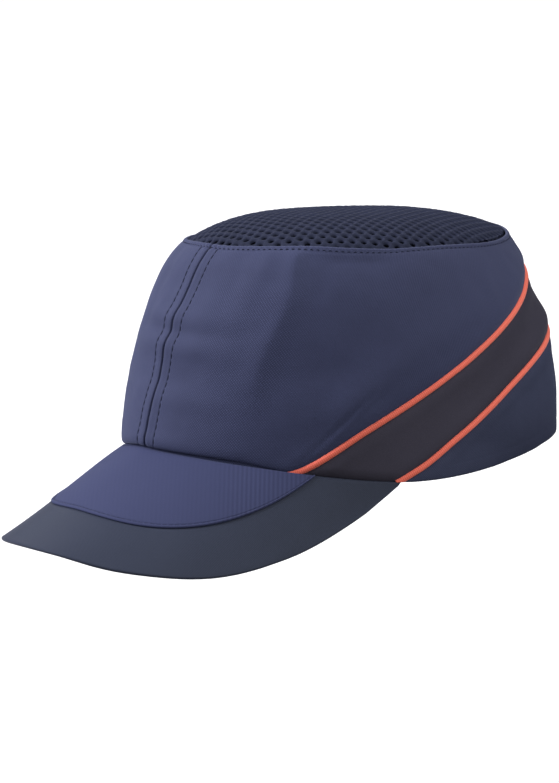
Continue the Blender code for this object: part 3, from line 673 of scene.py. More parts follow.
def rows_up(angles, low, high, step):
    """Heights of rows evenly spaced up the wall, closer at both edges, and their distances from each."""
    f = np.linspace(0.0, 1.0, 281)
    z = low[:, None] + (high - low)[:, None] * (1.0 - (1.0 - f) ** 1.8)
    p = wall(angles[:, None], z)
    run = np.concatenate((np.zeros((len(angles), 1)), np.cumsum(np.linalg.norm(np.diff(p, axis=1), axis=-1), axis=1)), 1)
    total = run[:, -1]
    q = np.minimum(1.0, total / 8.0)
    inner = max(int(total.max() / step), 6)
    edge = np.array((0.0, 0.12, 0.4, 0.85))
    s = np.concatenate((edge[None] * q[:, None],
                        1.5 * q[:, None] + (total - 3.0 * q)[:, None] * np.linspace(0, 1, inner)[None],
                        total[:, None] - edge[::-1][None] * q[:, None]), 1)
    heights = np.stack([np.interp(s[i], run[i], z[i]) for i in range(len(angles))])
    return heights, s, total[:, None] - s


def own_shape(angle, z):
    """How the sewn cloth stands off the even wall: pulled in at the upper seam, full between seams."""
    back = ease(96.0, 132.0, angle)
    up, lo = station(UPPER, angle), station(LOWER, angle)
    d = -1.5 * hill(z, up - 8.0, 8.0) + 0.2 * hill(z, lo - 1.0, 8.0) + 0.6 * hill(z, up + 9.0, 7.0) - 0.5 * hill(z, up, 3.5) + 0.9 * hill(z, lo + 6.5, 4.5)
    return back * d


def seam_dip(distance, depth=1.0):
    """Cloth pulled down beside a piping, then slightly full."""
    return -depth * hill(distance, 0.0, 1.7) + 0.35 * hill(distance, 5.5, 3.0)


def make_panel(name, side, angles, low, high, step, shape, look, slot):
    angles, low, high = (np.asarray(v, float) for v in (angles, low, high))
    z, s, t = rows_up(angles, low, high, step)
    a = np.broadcast_to(angles[:, None], z.shape)
    p, n = wall(a, z), wall_normal(a, z)
    u = np.concatenate((np.zeros((1, z.shape[1])), np.cumsum(np.linalg.norm(np.diff(p, axis=0), axis=-1), axis=0)), 0)
    mirrored = p * np.array((side, 1.0, 1.0))
    move, extra = shape(a, z, s, t, u, mirrored)
    move = move + own_shape(a, z)
    near = np.minimum(s, t)
    lip = np.sqrt(np.clip(1.0 - (1.0 - np.minimum(near / (0.55 * THICK), 1.0)) ** 2, 0.05, 1.0))
    middle = p + n * (move - THICK / 2)[..., None]
    outer = middle + n * (lip * (THICK / 2 + extra))[..., None]
    inner = middle - n * (lip * THICK / 2)[..., None]
    uv = np.stack((u, s + low[:, None]), -1)
    surface = {"outer": outer, "normal": n, "u": u, "s": s, "t": t}
    if side < 0:
        outer, inner, uv = (v[::-1].copy() for v in (outer, inner, uv))
        outer[..., 0] *= -1
        inner[..., 0] *= -1
    ob = closed_sheet(name, outer, inner, look, uv)
    wear(ob, "cap", slot, name)
    cloth_sheet(ob, outer)
    return surface


def row_at(surface, key, value, side, by_column=True):
    """A line on a panel at a set distance u, s or t, with the normals along it."""
    d, points, normals = surface[key], surface["outer"], surface["normal"]
    line, up = [], []
    for i in range(d.shape[0] if by_column else d.shape[1]):
        at = (i, slice(None)) if by_column else (slice(None), i)
        row = d[at]
        order = slice(None) if row[-1] > row[0] else slice(None, None, -1)
        line.append([np.interp(value, row[order], points[at][order][:, k]) for k in range(3)])
        up.append([np.interp(value, row[order], normals[at][order][:, k]) for k in range(3)])
    flip = np.array((side, 1.0, 1.0))
    return np.array(line) * flip, unit(np.array(up)) * flip


def rolled(s, deep, tall, power=2.2):
    """A hem rolled under over its last few millimetres."""
    return -deep * np.clip(1.0 - s / tall, 0.0, 1.0) ** power


def upper_line(angle, side):
    """Height of the upper seam, which hangs with the hem at the wearer's right front."""
    low = hang(-angle / 74.0) * (1.0 - ease(46.0, 64.0, angle)) if side < 0 else 0.0
    return station(UPPER, angle) - low


def crease(d, deep, length, soft=0.9):
    """Cloth that turns away beyond a fold at d = 0 and slowly comes back."""
    beyond = soft * np.log1p(np.exp(np.clip(d / soft, -40.0, 40.0)))
    return -deep * (1.0 - np.exp(-beyond / length)) * (1.0 - ease(3.0 * length, 7.0 * length, d))


def front_panel_shape(side):
    def shape(a, z, s, t, u, p):
        hem = 1.0 - ease(44.0, 50.0, a)
        lean = line_lean(UPPER, np.maximum(a, UPPER[0, 0]))
        away = (z - upper_line(a, side)) / lean
        move = np.where(a > 40.0, ease(43.0, 49.0, a) * seam_dip(away), 0.0)
        move = move + 0.35 * ripple(p, 26.0, 1.0) + 0.12 * ripple(p, 9.0, 2.0)
        move = move + 1.7 * hill(away, 15.0, 10.0) * ease(52.0, 66.0, a) * (1.0 - ease(94.0, 114.0, a))
        # the stiffened front bends where it has been pressed
        front = 1.0 - ease(8.0, 36.0, a)
        move = move + front * (0.8 * hill(z, 67.0, 3.8) - 0.5 * hill(z, 61.0, 2.6) + 0.9 * hill(z, 55.0, 4.2)
                               - 1.0 * hill(z, 42.0, 7.0) - 0.8 * hill(z, 81.0, 7.0) + 0.8 * hill(z, 14.0, 6.0))
        # small creases: level ones across the front, upright ones below the crown
        lying, standing = p * np.array((0.35, 0.35, 1.0)), p * np.array((1.0, 1.0, 0.30))
        move = move + (0.07 + 0.20 * (1.0 - ease(14.0, 46.0, a))) * ripple(lying, 6.5, 15.0) * ease(2.0, 9.0, t)
        move = move + 0.20 * ripple(standing, 7.5, 16.0) * ease(48.0, 78.0, z) * ease(2.0, 9.0, t) * ease(3.0, 9.0, u)
        # soft folds that hang from the crown
        line = (41.0 + 1.2 * hill(z, 80.0, 9.0) - 5.0 * (1.0 - ease(44.0, 78.0, z))) if side > 0 else 52.0 - 0.12 * z
        fold = (a - line) * 1.5
        move = move + (crease(fold, 2.1, 10.0, 0.6) + (0.7 if side > 0 else 0.0) * hill(fold, -0.5, 7.0)) * ease(28.0, 50.0, z) * ease(0.0, 8.0, t)
        move = move - 0.35 * hill(a, 21.0 - 0.02 * (z - 80.0) ** 2 / 20.0, 4.0) * ease(50.0, 72.0, z) * ease(0.0, 6.0, t)
        move = move + 0.30 * hill(a, 30.0, 3.2) * ease(70.0, 84.0, z) * ease(0.0, 6.0, t)
        # short pulls that run out of the piping's lower end
        for at, up, size in ((54.0, 8.0, 0.30), (60.0, 11.0, 0.34), (66.0, 9.0, 0.26)):
            slope = (z - station(UPPER, a) - up) - 0.55 * (a - at)
            move = move - size * hill(slope, 0.0, 1.7) * hill(a, at, 6.0)
        # centre seam: a narrow groove, the ridge of its turnings and a row of topstitching
        move = move - 1.0 * hill(u, 0.0, 0.50) + 0.22 * hill(u, 2.4, 1.5)
        fade = ease(0.0, 4.0, t)
        pucker = np.cos(2 * np.pi * s / 3.1)
        extra = -fade * (0.26 * hill(u, 6.1, 0.42) + 0.05 * pucker * hill(u, 6.1, 1.6))
        # hem rolled under, over the peak
        move = move + hem * (rolled(s, 0.55, 5.0) + rolled(s, 0.45, 1.6, 1.5))
        # folded top edge
        extra = extra + 0.40 * (1.0 - ease(1.7, 2.5, t)) - 0.35 * hill(t, 2.4, 0.45)
        move = move + 0.13 * np.cos(2 * np.pi * u / 2.9) * hill(t, 1.6, 1.4)
        return move, extra
    return shape


def stripe_shape(side):
    def shape(a, z, s, t, u, p):
        up = (upper_line(a, side) - z) / line_lean(UPPER, np.maximum(a, UPPER[0, 0]))
        lo = (z - station(LOWER, a)) / line_lean(LOWER, np.maximum(a, LOWER[0, 0]))
        move = seam_dip(up, 1.5) + np.where(a > 70.0, ease(70.0, 75.0, a) * seam_dip(lo, 1.2), 0.0)
        move = move + 0.30 * ripple(p, 24.0, 3.0) + 0.08 * ripple(p, 8.0, 4.0)
        hem = 1.0 - ease(71.0, 75.0, a)
        move = move + hem * rolled(s, 2.1, 6.0)
        return move, 0.0 * s
    return shape


def rear_shape(side):
    def shape(a, z, s, t, u, p):
        lo = (station(LOWER, a) - z) / line_lean(LOWER, np.maximum(a, LOWER[0, 0]))
        move = seam_dip(lo)
        move = move + 0.85 * ripple(p, 22.0, 5.0) + 0.16 * ripple(p, 9.0, 6.0)
        move = move + crease((104.0 + 0.34 * z - a) * 1.6, 0.9, 9.0) * ease(4.0, 14.0, z) * (1.0 - ease(118.0, 136.0, a))
        move = move + rolled(s, 0.3, 3.0)
        return move, -0.10 * hill(s, 5.8, 0.5)
    return shape


KEEP = 0.12     # the cloth's edge, from the middle of a piping
front_angles = np.concatenate((np.linspace(0.0, 6.6, 46), np.linspace(7.2, 45.6, 60), np.linspace(46.2, 180.0, 150)))


def over(table, angle, keep, side=1.0):
    line = upper_line(angle, side) if table is UPPER else station(table, angle)
    return line + keep * line_lean(table, np.maximum(angle, table[0, 0]))


def hem_height(angle, side):
    return rim_height(angle) - (hang(-angle / 74.0) if side < 0 else 0.0)


def hem_gap(angle):
    """Height of the slot between the hem and the peak, where the seam tape shows."""
    return (1.5 + 0.3 * ease(8.0, 26.0, angle)) * (1.0 - ease(32.0, 46.0, angle))


panel_data = {}
for word, side in SIDES:
    facing[0] = side
    a = front_angles
    low = np.maximum(hem_height(a, side) + hem_gap(a) - 0.9, np.where(a < 40.0, -9.0, over(UPPER, a, KEEP, side)))
    panel_data["front", word] = make_panel("front_panel_" + word, side, a, low, seam_height(a) - 0.5 * ease(95.0, 120.0, a),
                                           1.15, front_panel_shape(side), NAVY, "navy_cloth")
    a = np.concatenate((np.linspace(47.6, 75.0, 44), np.linspace(75.7, 180.0, 110)))
    low = np.maximum(hem_height(a, side) - 1.2 * (1.0 - ease(74.0, 79.0, a)),
                     np.where(a < 70.0, -9.0, over(LOWER, a, KEEP)))
    high = np.maximum(over(UPPER, a, -KEEP, side), low + 0.05)
    panel_data["stripe", word] = make_panel("stripe_panel_" + word, side, a, low, high, 1.2, stripe_shape(side),
                                            SATIN, "black_satin")
    corner = float(angle_at(36.6, 7.5))
    turn = np.linspace(0.0, math.pi / 2, 40)[1:]
    x, z = arch(turn, 0.6)
    sides_low = np.linspace(74.9, corner, 72)
    a = np.concatenate((sides_low, angle_at(np.maximum(x, 0.0), z)))
    a[-1] = 180.0
    low = np.concatenate((rim_height(sides_low) - 0.7 * (1.0 - ease(corner - 6.0, corner, sides_low)), z))
    high = np.maximum(over(LOWER, a, -KEEP * ease(74.0, 83.0, a)), low + 0.05)
    panel_data["rear", word] = make_panel("rear_panel_" + word, side, a, low, high, 1.2, rear_shape(side), REAR, "navy_cloth")

facing[0] = 1.0

# Seam tape behind the hem, over the join with the peak.
a = np.broadcast_to(np.linspace(-47.0, 47.0, 160)[:, None], (160, 14))
hem = np.where(a < 0.0, hem_height(np.abs(a), -1.0), hem_height(np.abs(a), 1.0))
z = hem + np.linspace(-2.2, 7.0, 14)[None]
clear = np.maximum(z, rim_height(a))
p, n = wall(a, clear), wall_normal(a, clear)
p[..., 2] = z
deep = 1.55 + 0.06 * ripple(p, 7.0, 14.0)
outer, inner = p - n * deep[..., None], p - n * (deep + 0.4)[..., None]
ob = closed_sheet("peak_seam_tape", outer, inner, TAPE, np.stack((a * 1.6, z), -1))
wear(ob, "cap", "webbing")
cloth_sheet(ob, outer)

# ------------------------------------------------------------------ pipings
for word, side in SIDES:
    facing[0] = side
    for level, table in (("upper", UPPER), ("lower", LOWER)):
        a = np.linspace(38.0, 90.0, 521)
        line = upper_line(a, side) if table is UPPER else station(table, a)
        start = float(a[line > hem_height(a, side) - 1.3][0])
        a = np.concatenate((np.linspace(start, start + 8.0, 40), np.linspace(start + 8.5, 180.0, 190)))
        z = upper_line(a, side) if table is UPPER else station(table, a)
        n = wall_normal(a, np.maximum(z, rim_height(a)))
        sunk = (1.0 - ease(0.0, 9.0, a - start)) * (1.5 if level == "upper" else 0.6)
        face, back = 0.8 - sunk, np.maximum(-1.5 - sunk, -1.75)
        p = wall(a, z) + n * (own_shape(a, z) + (face + back) / 2.0)[:, None]
        flip = np.array((side, 1.0, 1.0))
        ob = tube("%s_piping_%s" % (level, word), p * flip, n * flip, 1.45, (face - back) / 2.0, CORAL, sides=16,
                  foot=hem_height(a, side) - 0.6)
        wear(ob, "cap", "coral_piping", "%s_piping_%s" % (level, word))

facing[0] = 1.0

# ------------------------------------------------------------------ crown mesh
PITCH = 4.9


def dome_at(x, y):
    """(angle, r) on the dome below a point seen from above."""
    best = None
    for length, front in ((67.2, True), (84.5, False)):
        w = y + 5.0
        a, b = 25.0 / length ** 2 - 1.0, -10.0 * w / length ** 2
        c = (w / length) ** 2 + (x / 65.1) ** 2
        r = (-b - np.sqrt(np.maximum(b * b - 4 * a * c, 0.0))) / (2 * a)
        cos, sin = (5.0 * r - w) / np.maximum(length * r, 1e-9), x / np.maximum(65.1 * r, 1e-9)
        angle = np.degrees(np.arctan2(sin, cos))
        best = (angle, r) if best is None else (np.where(best[0] * 0 + np.cos(np.radians(best[0])) >= 0, best[0], angle),
                                                np.where(np.cos(np.radians(best[0])) >= 0, best[1], r))
    return best


def on_dome(x, y, drop):
    angle, r = dome_at(x, y)
    r = np.minimum(r, 0.997)
    p = dome(angle, r)
    p[..., 2] -= drop + 0.9 * ease(0.93, 1.0, r) * (1.0 - ease(95.0, 120.0, np.abs(angle)))
    return p


def crown():
    """Knitted mesh: a web of rounded strands round staggered six-sided holes."""
    centres = []
    step = PITCH * math.sqrt(3) / 2
    for j in range(-22, 23):
        for i in range(-18, 19):
            centres.append(((i + 0.5 * (j % 2)) * PITCH, j * step + 8.0))
    centres = np.array(centres)
    keep = dome_at(centres[:, 0], centres[:, 1])[1] < 1.025
    centres = centres[keep]
    turn = np.radians(np.arange(12) * 30.0)
    cell = PITCH / math.sqrt(3) * np.where(np.arange(12) % 2 == 0, math.cos(math.pi / 6), 1.0)
    hole = np.where(np.arange(12) % 2 == 0, 1.24, 1.36)
    ring = np.stack((np.cos(turn), np.sin(turn)), -1)
    index, verts, faces = {}, [], []

    def vert(x, y, drop, key):
        if key not in index:
            index[key] = len(verts)
            verts.append((x, y, drop))
        return index[key]

    for n, (cx, cy) in enumerate(centres):
        layers = []
        for level, (drop_rim, drop_hole) in enumerate(((0.08, 0.46), (2.30, 2.00))):
            outer, inner = [], []
            for k in range(12):
                x, y = cx + ring[k, 0] * cell[k], cy + ring[k, 1] * cell[k]
                outer.append(vert(x, y, drop_rim, (level, round(x, 2), round(y, 2))))
                x, y = cx + ring[k, 0] * hole[k], cy + ring[k, 1] * hole[k]
                inner.append(vert(x, y, drop_hole, (level, n, k)))
            layers.append((outer, inner))
        (ot, it), (ob_, ib) = layers
        for k in range(12):
            m = (k + 1) % 12
            faces.append((ot[k], ot[m], it[m], it[k]))
            faces.append((ob_[m], ob_[k], ib[k], ib[m]))
            faces.append((it[k], it[m], ib[m], ib[k]))
    v = np.array(verts)
    return on_dome(v[:, 0], v[:, 1], v[:, 2]), faces


verts, faces = crown()
ob = build("crown_mesh", verts, faces, KNIT)
soft = ob.modifiers.new("strands", "SUBSURF")
soft.levels = soft.render_levels = 1
wear(ob, "cap", "crown_mesh", "crown_mesh")


def round_sheet(name, outer, inner, tip, base, look):
    """A closed round piece from matching rings of outer and inner points (around, rows) and two middles."""
    around, rows = outer.shape[:2]
    count = around * rows
    n = np.arange(count).reshape(around, rows)
    nxt = np.roll(n, -1, 0)
    faces = grid_faces(rows, around, closed=True).tolist() + grid_faces(rows, around, count, closed=True, flip=True).tolist()
    faces += np.stack((n[:, 0], n[:, 0] + count, nxt[:, 0] + count, nxt[:, 0]), -1).tolist()
    faces += [(int(n[i, -1]), int(nxt[i, -1]), 2 * count) for i in range(around)]
    faces += [(int(nxt[i, -1]) + count, int(n[i, -1]) + count, 2 * count + 1) for i in range(around)]
    return build(name, np.concatenate((outer.reshape(-1, 3), inner.reshape(-1, 3), [tip, base])), faces, look)


# A thin lining net below the mesh.
a, r = np.broadcast_arrays(np.linspace(0.0, 360.0, 120, endpoint=False)[:, None], np.linspace(1.03, 0.03, 28)[None])
middle = dome(np.array(0.0), np.array(0.0))
deep = 2.75 + 0.9 * ease(0.93, 1.0, r) + 0.8 * ease(0.99, 1.03, r) + 0.12 * ripple(dome(a, r), 6.0, 13.0)
outer, inner = dome(a, r) - stack(0.0, 0.0, deep), dome(a, r) - stack(0.0, 0.0, deep + 0.35)
ob = round_sheet("crown_lining", outer, inner, middle - (0.0, 0.0, 2.75), middle - (0.0, 0.0, 3.1), LINING)
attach(ob, "cap")

# ------------------------------------------------------------------ peak
cover_turns = np.linspace(0.0, 1.0, 2001)
COVER_END = float(cover_turns[border_line(cover_turns) >= 0.0].max())


def peak_point(t, k, depth):
    return peak_top(t, k) - peak_normal(t, k) * np.asarray(depth)[..., None]


# Top cover: ribbed cloth with a folded, topstitched edge over the border.
t = COVER_END * np.sin(np.pi / 2 * np.linspace(-1.0, 1.0, 151)) * 0.9985
edge = np.maximum(border_line(t), 0.0)
w = peak_width(t)
back = np.array((-1.3, -0.8, -0.3))
total = edge * w
q = np.minimum(1.0, total / 8.0)
off = np.array((2.9, 2.5, 2.25, 2.0, 1.75, 1.5, 1.25, 0.85, 0.4, 0.12, 0.0))
k_in = np.linspace(0.0, 1.0, 44)
k = np.concatenate((np.broadcast_to(back, (len(t), 3)), k_in[None] * ((total - 3.3 * q) / w)[:, None],
                    (total[:, None] - off[None] * q[:, None]) / w[:, None]), 1)
tt = np.broadcast_to(t[:, None], k.shape)
left = np.maximum(total[:, None] - np.maximum(k, 0.0) * w[:, None], 0.0)
p, n = peak_top(tt, k), peak_normal(tt, k)
round_off = np.sqrt(np.clip(1.0 - (1.0 - np.minimum(left / 0.7, 1.0)) ** 2, 0.05, 1.0))
raised = 0.30 + 0.40 * (1.0 - ease(1.3, 2.0, left)) - 0.22 * hill(left, 2.0, 0.35) + 0.20 * ripple(p, 26.0, 7.0)
outer = p + n * (raised * round_off)[..., None]
inner = p - n * (0.30 * round_off)[..., None]
uv = np.stack((0.615 * p[..., 0] + 0.788 * p[..., 1], 0.788 * p[..., 0] - 0.615 * p[..., 1]), -1)
cover = closed_sheet("peak_top_cover", outer[:, ::-1], inner[:, ::-1], RIBBED, uv[:, ::-1])
wear(cover, "cap", "navy_cloth", "peak_top_cover")
cloth_sheet(cover, outer)

# Border: one smooth strip over the top, round the edge and a little way under.
turns = np.concatenate((np.linspace(-1.0, -0.72, 34), np.linspace(-0.71, 0.71, 120), np.linspace(0.72, 1.0, 34)))
w = peak_width(turns)
reach = border_line(turns)
beside = ease(0.72, 0.98, np.abs(turns) / COVER_END)
start = np.where(np.abs(turns) < COVER_END, mix(reach - 3.0 / w, -0.6, beside), -0.6)
wrap = np.minimum(9.0, 0.5 * w + 0.8)
HALF = 0.86
rows_k, rows_d = [], []
for f in np.linspace(0.0, 1.0, 30):
    k = mix(start, 1.0 - HALF / w, f)
    rows_k.append(k)
    under = 1.0 - ease(-0.6, 1.2, (k - np.maximum(reach, 0.0)) * w)
    rows_d.append(0.12 + 0.42 * under * (1.0 - ease(0.90, 1.0, np.abs(turns) / COVER_END)))
for f in np.linspace(0.0, np.pi, 13)[1:-1]:
    rows_k.append(1.0 - (HALF - HALF * math.sin(f)) / w)
    rows_d.append(np.full(len(turns), 0.12 + HALF - HALF * math.cos(f)))
for f in np.linspace(0.0, 1.0, 8):
    rows_k.append(1.0 - mix(HALF, wrap, f) / w)
    rows_d.append(np.full(len(turns), 0.12 + 2 * HALF))
k, d = np.stack(rows_k, 1), np.stack(rows_d, 1)
tt = np.broadcast_to(turns[:, None], k.shape)
p, n = peak_top(tt, np.minimum(k, 1.0)), peak_normal(tt, k)
wave = 0.16 * ripple(p, 34.0, 8.0) * (1.0 - ease(0.4, 1.4, d))
outer = p - n * (d + wave)[..., None]
skin = unit(np.cross(np.gradient(outer, axis=0), np.gradient(outer, axis=1)))
if (skin[:, 8] * n[:, 8]).sum() < 0:
    skin = -skin
inner = outer - skin * 0.30
length = np.concatenate((np.zeros((len(turns), 1)), np.cumsum(np.linalg.norm(np.diff(outer, axis=1), axis=-1), axis=1)), 1)
run = np.concatenate(([0.0], np.cumsum(np.linalg.norm(np.diff(outer[:, 29], axis=0), axis=-1))))
# v counts from just past the middle of the edge round, where the painted shade of the underside begins.
uv = np.stack((np.broadcast_to(run[:, None], length.shape), length - length[:, 36:37]), -1)
border = closed_sheet("peak_border", outer[:, ::-1], inner[:, ::-1], CHARCOAL, uv[:, ::-1])
wear(border, "cap", "charcoal_border", "peak_border")
cloth_sheet(border, outer)

# Under cover.
t = np.linspace(-0.93, 0.93, 141)
w = peak_width(t)
wrap = np.minimum(9.0, 0.5 * w + 0.8)
f = np.linspace(0.0, 1.0, 40)
k = np.concatenate((np.broadcast_to(np.array((-0.8, -0.4)), (len(t), 2)), f[None] * (1.0 - (wrap - 1.2) / w)[:, None]), 1)
tt = np.broadcast_to(t[:, None], k.shape)
p, n = peak_top(tt, k), peak_normal(tt, k)
outer = p - n * (1.70 + 0.06 * ripple(p, 20.0, 9.0))[..., None]
inner = p - n * 1.45
uv = np.stack((p[..., 0], np.linalg.norm(p - p[:, 2:3], axis=-1)), -1)
under = closed_sheet("peak_under_cover", outer, inner, RIBBED, uv)
wear(under, "cap", "navy_cloth", "peak_under_cover")
cloth_sheet(under, outer)

# Board: the stiffener between the covers, fluted from front to back.
t = np.linspace(-0.965, 0.965, 141)
w = peak_width(t)
k = np.concatenate((np.full((len(t), 1), -0.3), np.linspace(0.0, 1.0, 44)[None] * (1.0 - 1.3 / w)[:, None]), 1)
tt = np.broadcast_to(t[:, None], k.shape)
p, n = peak_top(tt, k), peak_normal(tt, k)
flute = 0.12 * np.cos(2 * np.pi * p[..., 0] / 5.0)
outer, inner = p - n * (0.62 + flute)[..., None], p - n * 1.40
board = closed_sheet("peak_board", outer[:, ::-1], inner[:, ::-1], BOARD, np.stack((p[..., 0], p[..., 1]), -1)[:, ::-1])
wear(board, "cap", "peak_board", "peak_board")

# ------------------------------------------------------------------ stitching on the cap's outside
seam_row = []
for word, side in SIDES:
    front = panel_data["front", word]
    line, up = row_at(front, "u", 6.1, side, by_column=False)
    inside = (front["s"][0] > 1.0) & (front["t"][0] > 2.0)
    stitching("front_topstitch_" + word, [(line[inside], up[inside])], DARK_THREAD, long=2.7, gap=0.45, radius=0.19, lift=0.10)
    line, up = row_at(front, "t", 2.3, side)
    stitching("crown_stitching_" + word, [(line[6:], up[6:])], DARK_THREAD, long=1.4, gap=1.3, radius=0.18, lift=0.10)
    if side > 0:
        seam_row.append((front["outer"][0][front["s"][0] > 0.6], front["normal"][0][front["s"][0] > 0.6]))
    rear = panel_data["rear", word]
    line, up = row_at(rear, "s", 5.8, side)
    tall = (rear["s"][:, -1] > 9.0) & (np.arange(len(line)) > 71)
    stitching("rear_stitching_" + word, [(line[tall], up[tall])], DARK_THREAD, radius=0.2)
# Black stitches laid almost end to end in the centre seam's groove: a dark line standing in for the groove's shade,
# painted shade.
stitching("front_seam_painted_shade_thread", seam_row, BLACK_THREAD, long=7.0, gap=0.1, radius=0.27, lift=0.15)

edge_line = np.linspace(-COVER_END * 0.985, COVER_END * 0.985, 200)
k = border_line(edge_line)
k = np.maximum(k - 2.0 / peak_width(edge_line), 0.0)
keep = k > 0.02
stitching("peak_stitching", [(peak_point(edge_line, k, -0.20 + 0 * k)[keep], peak_normal(edge_line, k)[keep])], NAVY_THREAD,
          long=2.2, gap=0.5, radius=0.13, lift=0.05)
edge_line = np.linspace(-0.95, 0.95, 260)
w = peak_width(edge_line)
k = 1.0 - (np.minimum(9.0, 0.5 * w + 0.8) - 2.4) / w
stitching("peak_under_stitching", [(peak_point(edge_line, k, 1.86 + 0 * k), -peak_normal(edge_line, k))], DARK_THREAD,
          slot="charcoal_border", radius=0.2)

# ------------------------------------------------------------------ sweatband, tape and binding
def wall_strip(name, angles, low, high, outside, inside, look, slot, count=18, channels=0.0):
    """A strip inside the wall, between two depths, with rounded edges and sewn channels on its inner face."""
    a = np.asarray(angles, float)[:, None]
    f = np.concatenate(((0.0, 0.006, 0.02, 0.045), np.linspace(0.075, 0.925, count), (0.955, 0.98, 0.994, 1.0)))[None]
    z = low(a) + (high(a) - low(a)) * f
    p, n = wall(a, z), wall_normal(a, z)
    u = np.concatenate((np.zeros((1, z.shape[1])), np.cumsum(np.linalg.norm(np.diff(p, axis=0), axis=-1), axis=0)), 0)
    half = (inside - outside) / 2
    near = np.minimum(np.minimum(f, 1.0 - f) * (high(a) - low(a)), np.minimum(u, u[-1:] - u))
    lip = np.sqrt(np.clip(1.0 - (1.0 - np.minimum(near / half, 1.0)) ** 2, 0.06, 1.0))
    ends = np.minimum(u, u[-1:] - u)
    soft = 0.12 * ripple(p, 12.0, 11.0)
    if channels:
        count_c = max(round(float(u[-1].mean()) / channels), 1)
        wave = np.abs(np.sin(np.pi * u / u[-1:] * count_c)) ** 0.4
        soft = soft - 0.55 * half * (1.0 - wave) * ease(2.5, 5.0, f * (high(a) - low(a))) * ease(2.5, 5.0, (1.0 - f) * (high(a) - low(a)))
    groove = -0.25 * hill(np.minimum(f, 1.0 - f) * (high(a) - low(a)), 3.2, 0.7)
    middle = p - n * ((outside + inside) / 2)
    outer = middle + n * (lip * half)[..., None]
    inner = middle - n * (lip * (half + soft + groove))[..., None]
    uv = np.stack((u, f * (high(a) - low(a))), -1)
    ob = closed_sheet(name, outer, inner, look, uv)
    wear(ob, "cap", slot, name)
    return ob, outer, inner, n


def band_low(angle):
    return rim_height(angle) + 1.0


def band_high(angle):
    return rim_height(angle) + 28.0


ob, outer, inner, n = wall_strip("sweatband_front", np.linspace(-71.0, 71.0, 190), band_low, band_high, 2.2, 4.4, TERRY,
                                 "sweatband", channels=21.0)
bands = [(inner[3:-3, 6], -n[3:-3, 6]), (inner[3:-3, -7], -n[3:-3, -7])]
for word, side in SIDES:
    span = np.linspace(72.0, 146.0, 120) if side > 0 else np.linspace(-146.0, -72.0, 120)
    ob, outer, inner, n = wall_strip("sweatband_" + word, span, band_low, band_high, 2.2, 3.6, TERRY, "sweatband")
    cloth_sheet(ob, outer)
    bands += [(inner[3:-3, 6], -n[3:-3, 6]), (inner[3:-3, -7], -n[3:-3, -7])]
stitching("sweatband_stitching", bands, BLACK_THREAD, slot="sweatband")
ob, outer, inner, n = wall_strip("front_seam_tape", np.linspace(-5.0, 5.0, 15), lambda a: 42.0 + 0 * a, lambda a: 86.0 + 0 * a,
                                 2.3, 2.7, WEBBING, "webbing", count=40)
cloth_sheet(ob, outer)

turn = np.linspace(0.0, math.pi, 150)
x, z = arch(turn, 1.2)
a = angle_at(np.abs(x), z)
a = np.where(np.abs(x) < 1e-6, 180.0, a)
flip = np.stack((np.where(x < 0, -1.0, 1.0), np.ones(len(x)), np.ones(len(x))), -1)
p, n = wall(a, z) * flip, wall_normal(a, z) * flip
p = p + n * (own_shape(a, z) - 0.45)[:, None]
ob = tube("rear_arch_binding", p, n, 2.5, 1.35, WEBBING, sides=20, full=2.6)
wear(ob, "cap", "webbing", "rear_arch_binding")
inner_edge = np.cross(unit(np.gradient(p, axis=0)), n)
for sign in (1.0, -1.0):
    if np.linalg.norm((p + inner_edge * sign)[75] - np.array((0.0, 105.0, 60.0))) < np.linalg.norm((p - inner_edge * sign)[75] - np.array((0.0, 105.0, 60.0))):
        away = inner_edge * sign
stitching("binding_stitching", [(p[4:-4] + n[4:-4] * 1.22 + away[4:-4] * 0.9, n[4:-4])], BLACK_THREAD, slot="webbing",
          radius=0.22)

# ------------------------------------------------------------------ size adjuster
LOW, HIGH = 12.0, 32.0


def strap(name, path, thick, low, high, look, wide_rows=15, ridge=0.0):
    """Webbing on edge whose middle follows (run, out) points, with rounded edges."""
    path = np.asarray(path, float)
    t = unit(np.gradient(path, axis=0))
    nu, nd = -t[:, 1], t[:, 0]
    length = np.concatenate(([0.0], np.cumsum(np.linalg.norm(np.diff(path, axis=0), axis=1))))
    f = np.concatenate(((0.0, 0.008, 0.025, 0.05), np.linspace(0.09, 0.91, wide_rows), (0.95, 0.975, 0.992, 1.0)))
    h = low + (high - low) * f
    near = np.minimum(np.minimum(f, 1.0 - f)[None] * (high - low), np.minimum(length, length[-1] - length)[:, None])
    half = thick / 2
    lip = half * np.sqrt(np.clip(1.0 - (1.0 - np.minimum(near / half, 1.0)) ** 2, 0.06, 1.0))
    lip = lip + ridge * (0.5 + 0.5 * np.cos(2 * np.pi * (f - 0.5) * 5))[None] * ease(0.5, 1.5, near)
    outer = np.stack([round_back(path[:, 0] + nu * lip[:, j], path[:, 1] + nd * lip[:, j], h[j]) for j in range(len(h))], 1)
    inner = np.stack([round_back(path[:, 0] - nu * lip[:, j], path[:, 1] - nd * lip[:, j], h[j]) for j in range(len(h))], 1)
    uv = np.stack(np.broadcast_arrays(h[None], length[:, None]), -1)
    first = (outer[1:, 1:-1] - outer[:-1, 1:-1])[0, 4]
    across = (outer[0, 5] - outer[0, 4])
    facing = np.cross(first, across) @ (outer[1, 6] - inner[1, 6])
    if facing < 0:
        outer, inner, uv = outer[::-1], inner[::-1], uv[::-1]
    return closed_sheet(name, outer.copy(), inner.copy(), look, uv.copy()), outer, inner


def half_turn(at, way, start, end, count):
    turn = np.radians(np.linspace(start, end, count))
    return [(at + way * 2.3 * math.cos(v), -1.0 + 2.3 * math.sin(v)) for v in turn]


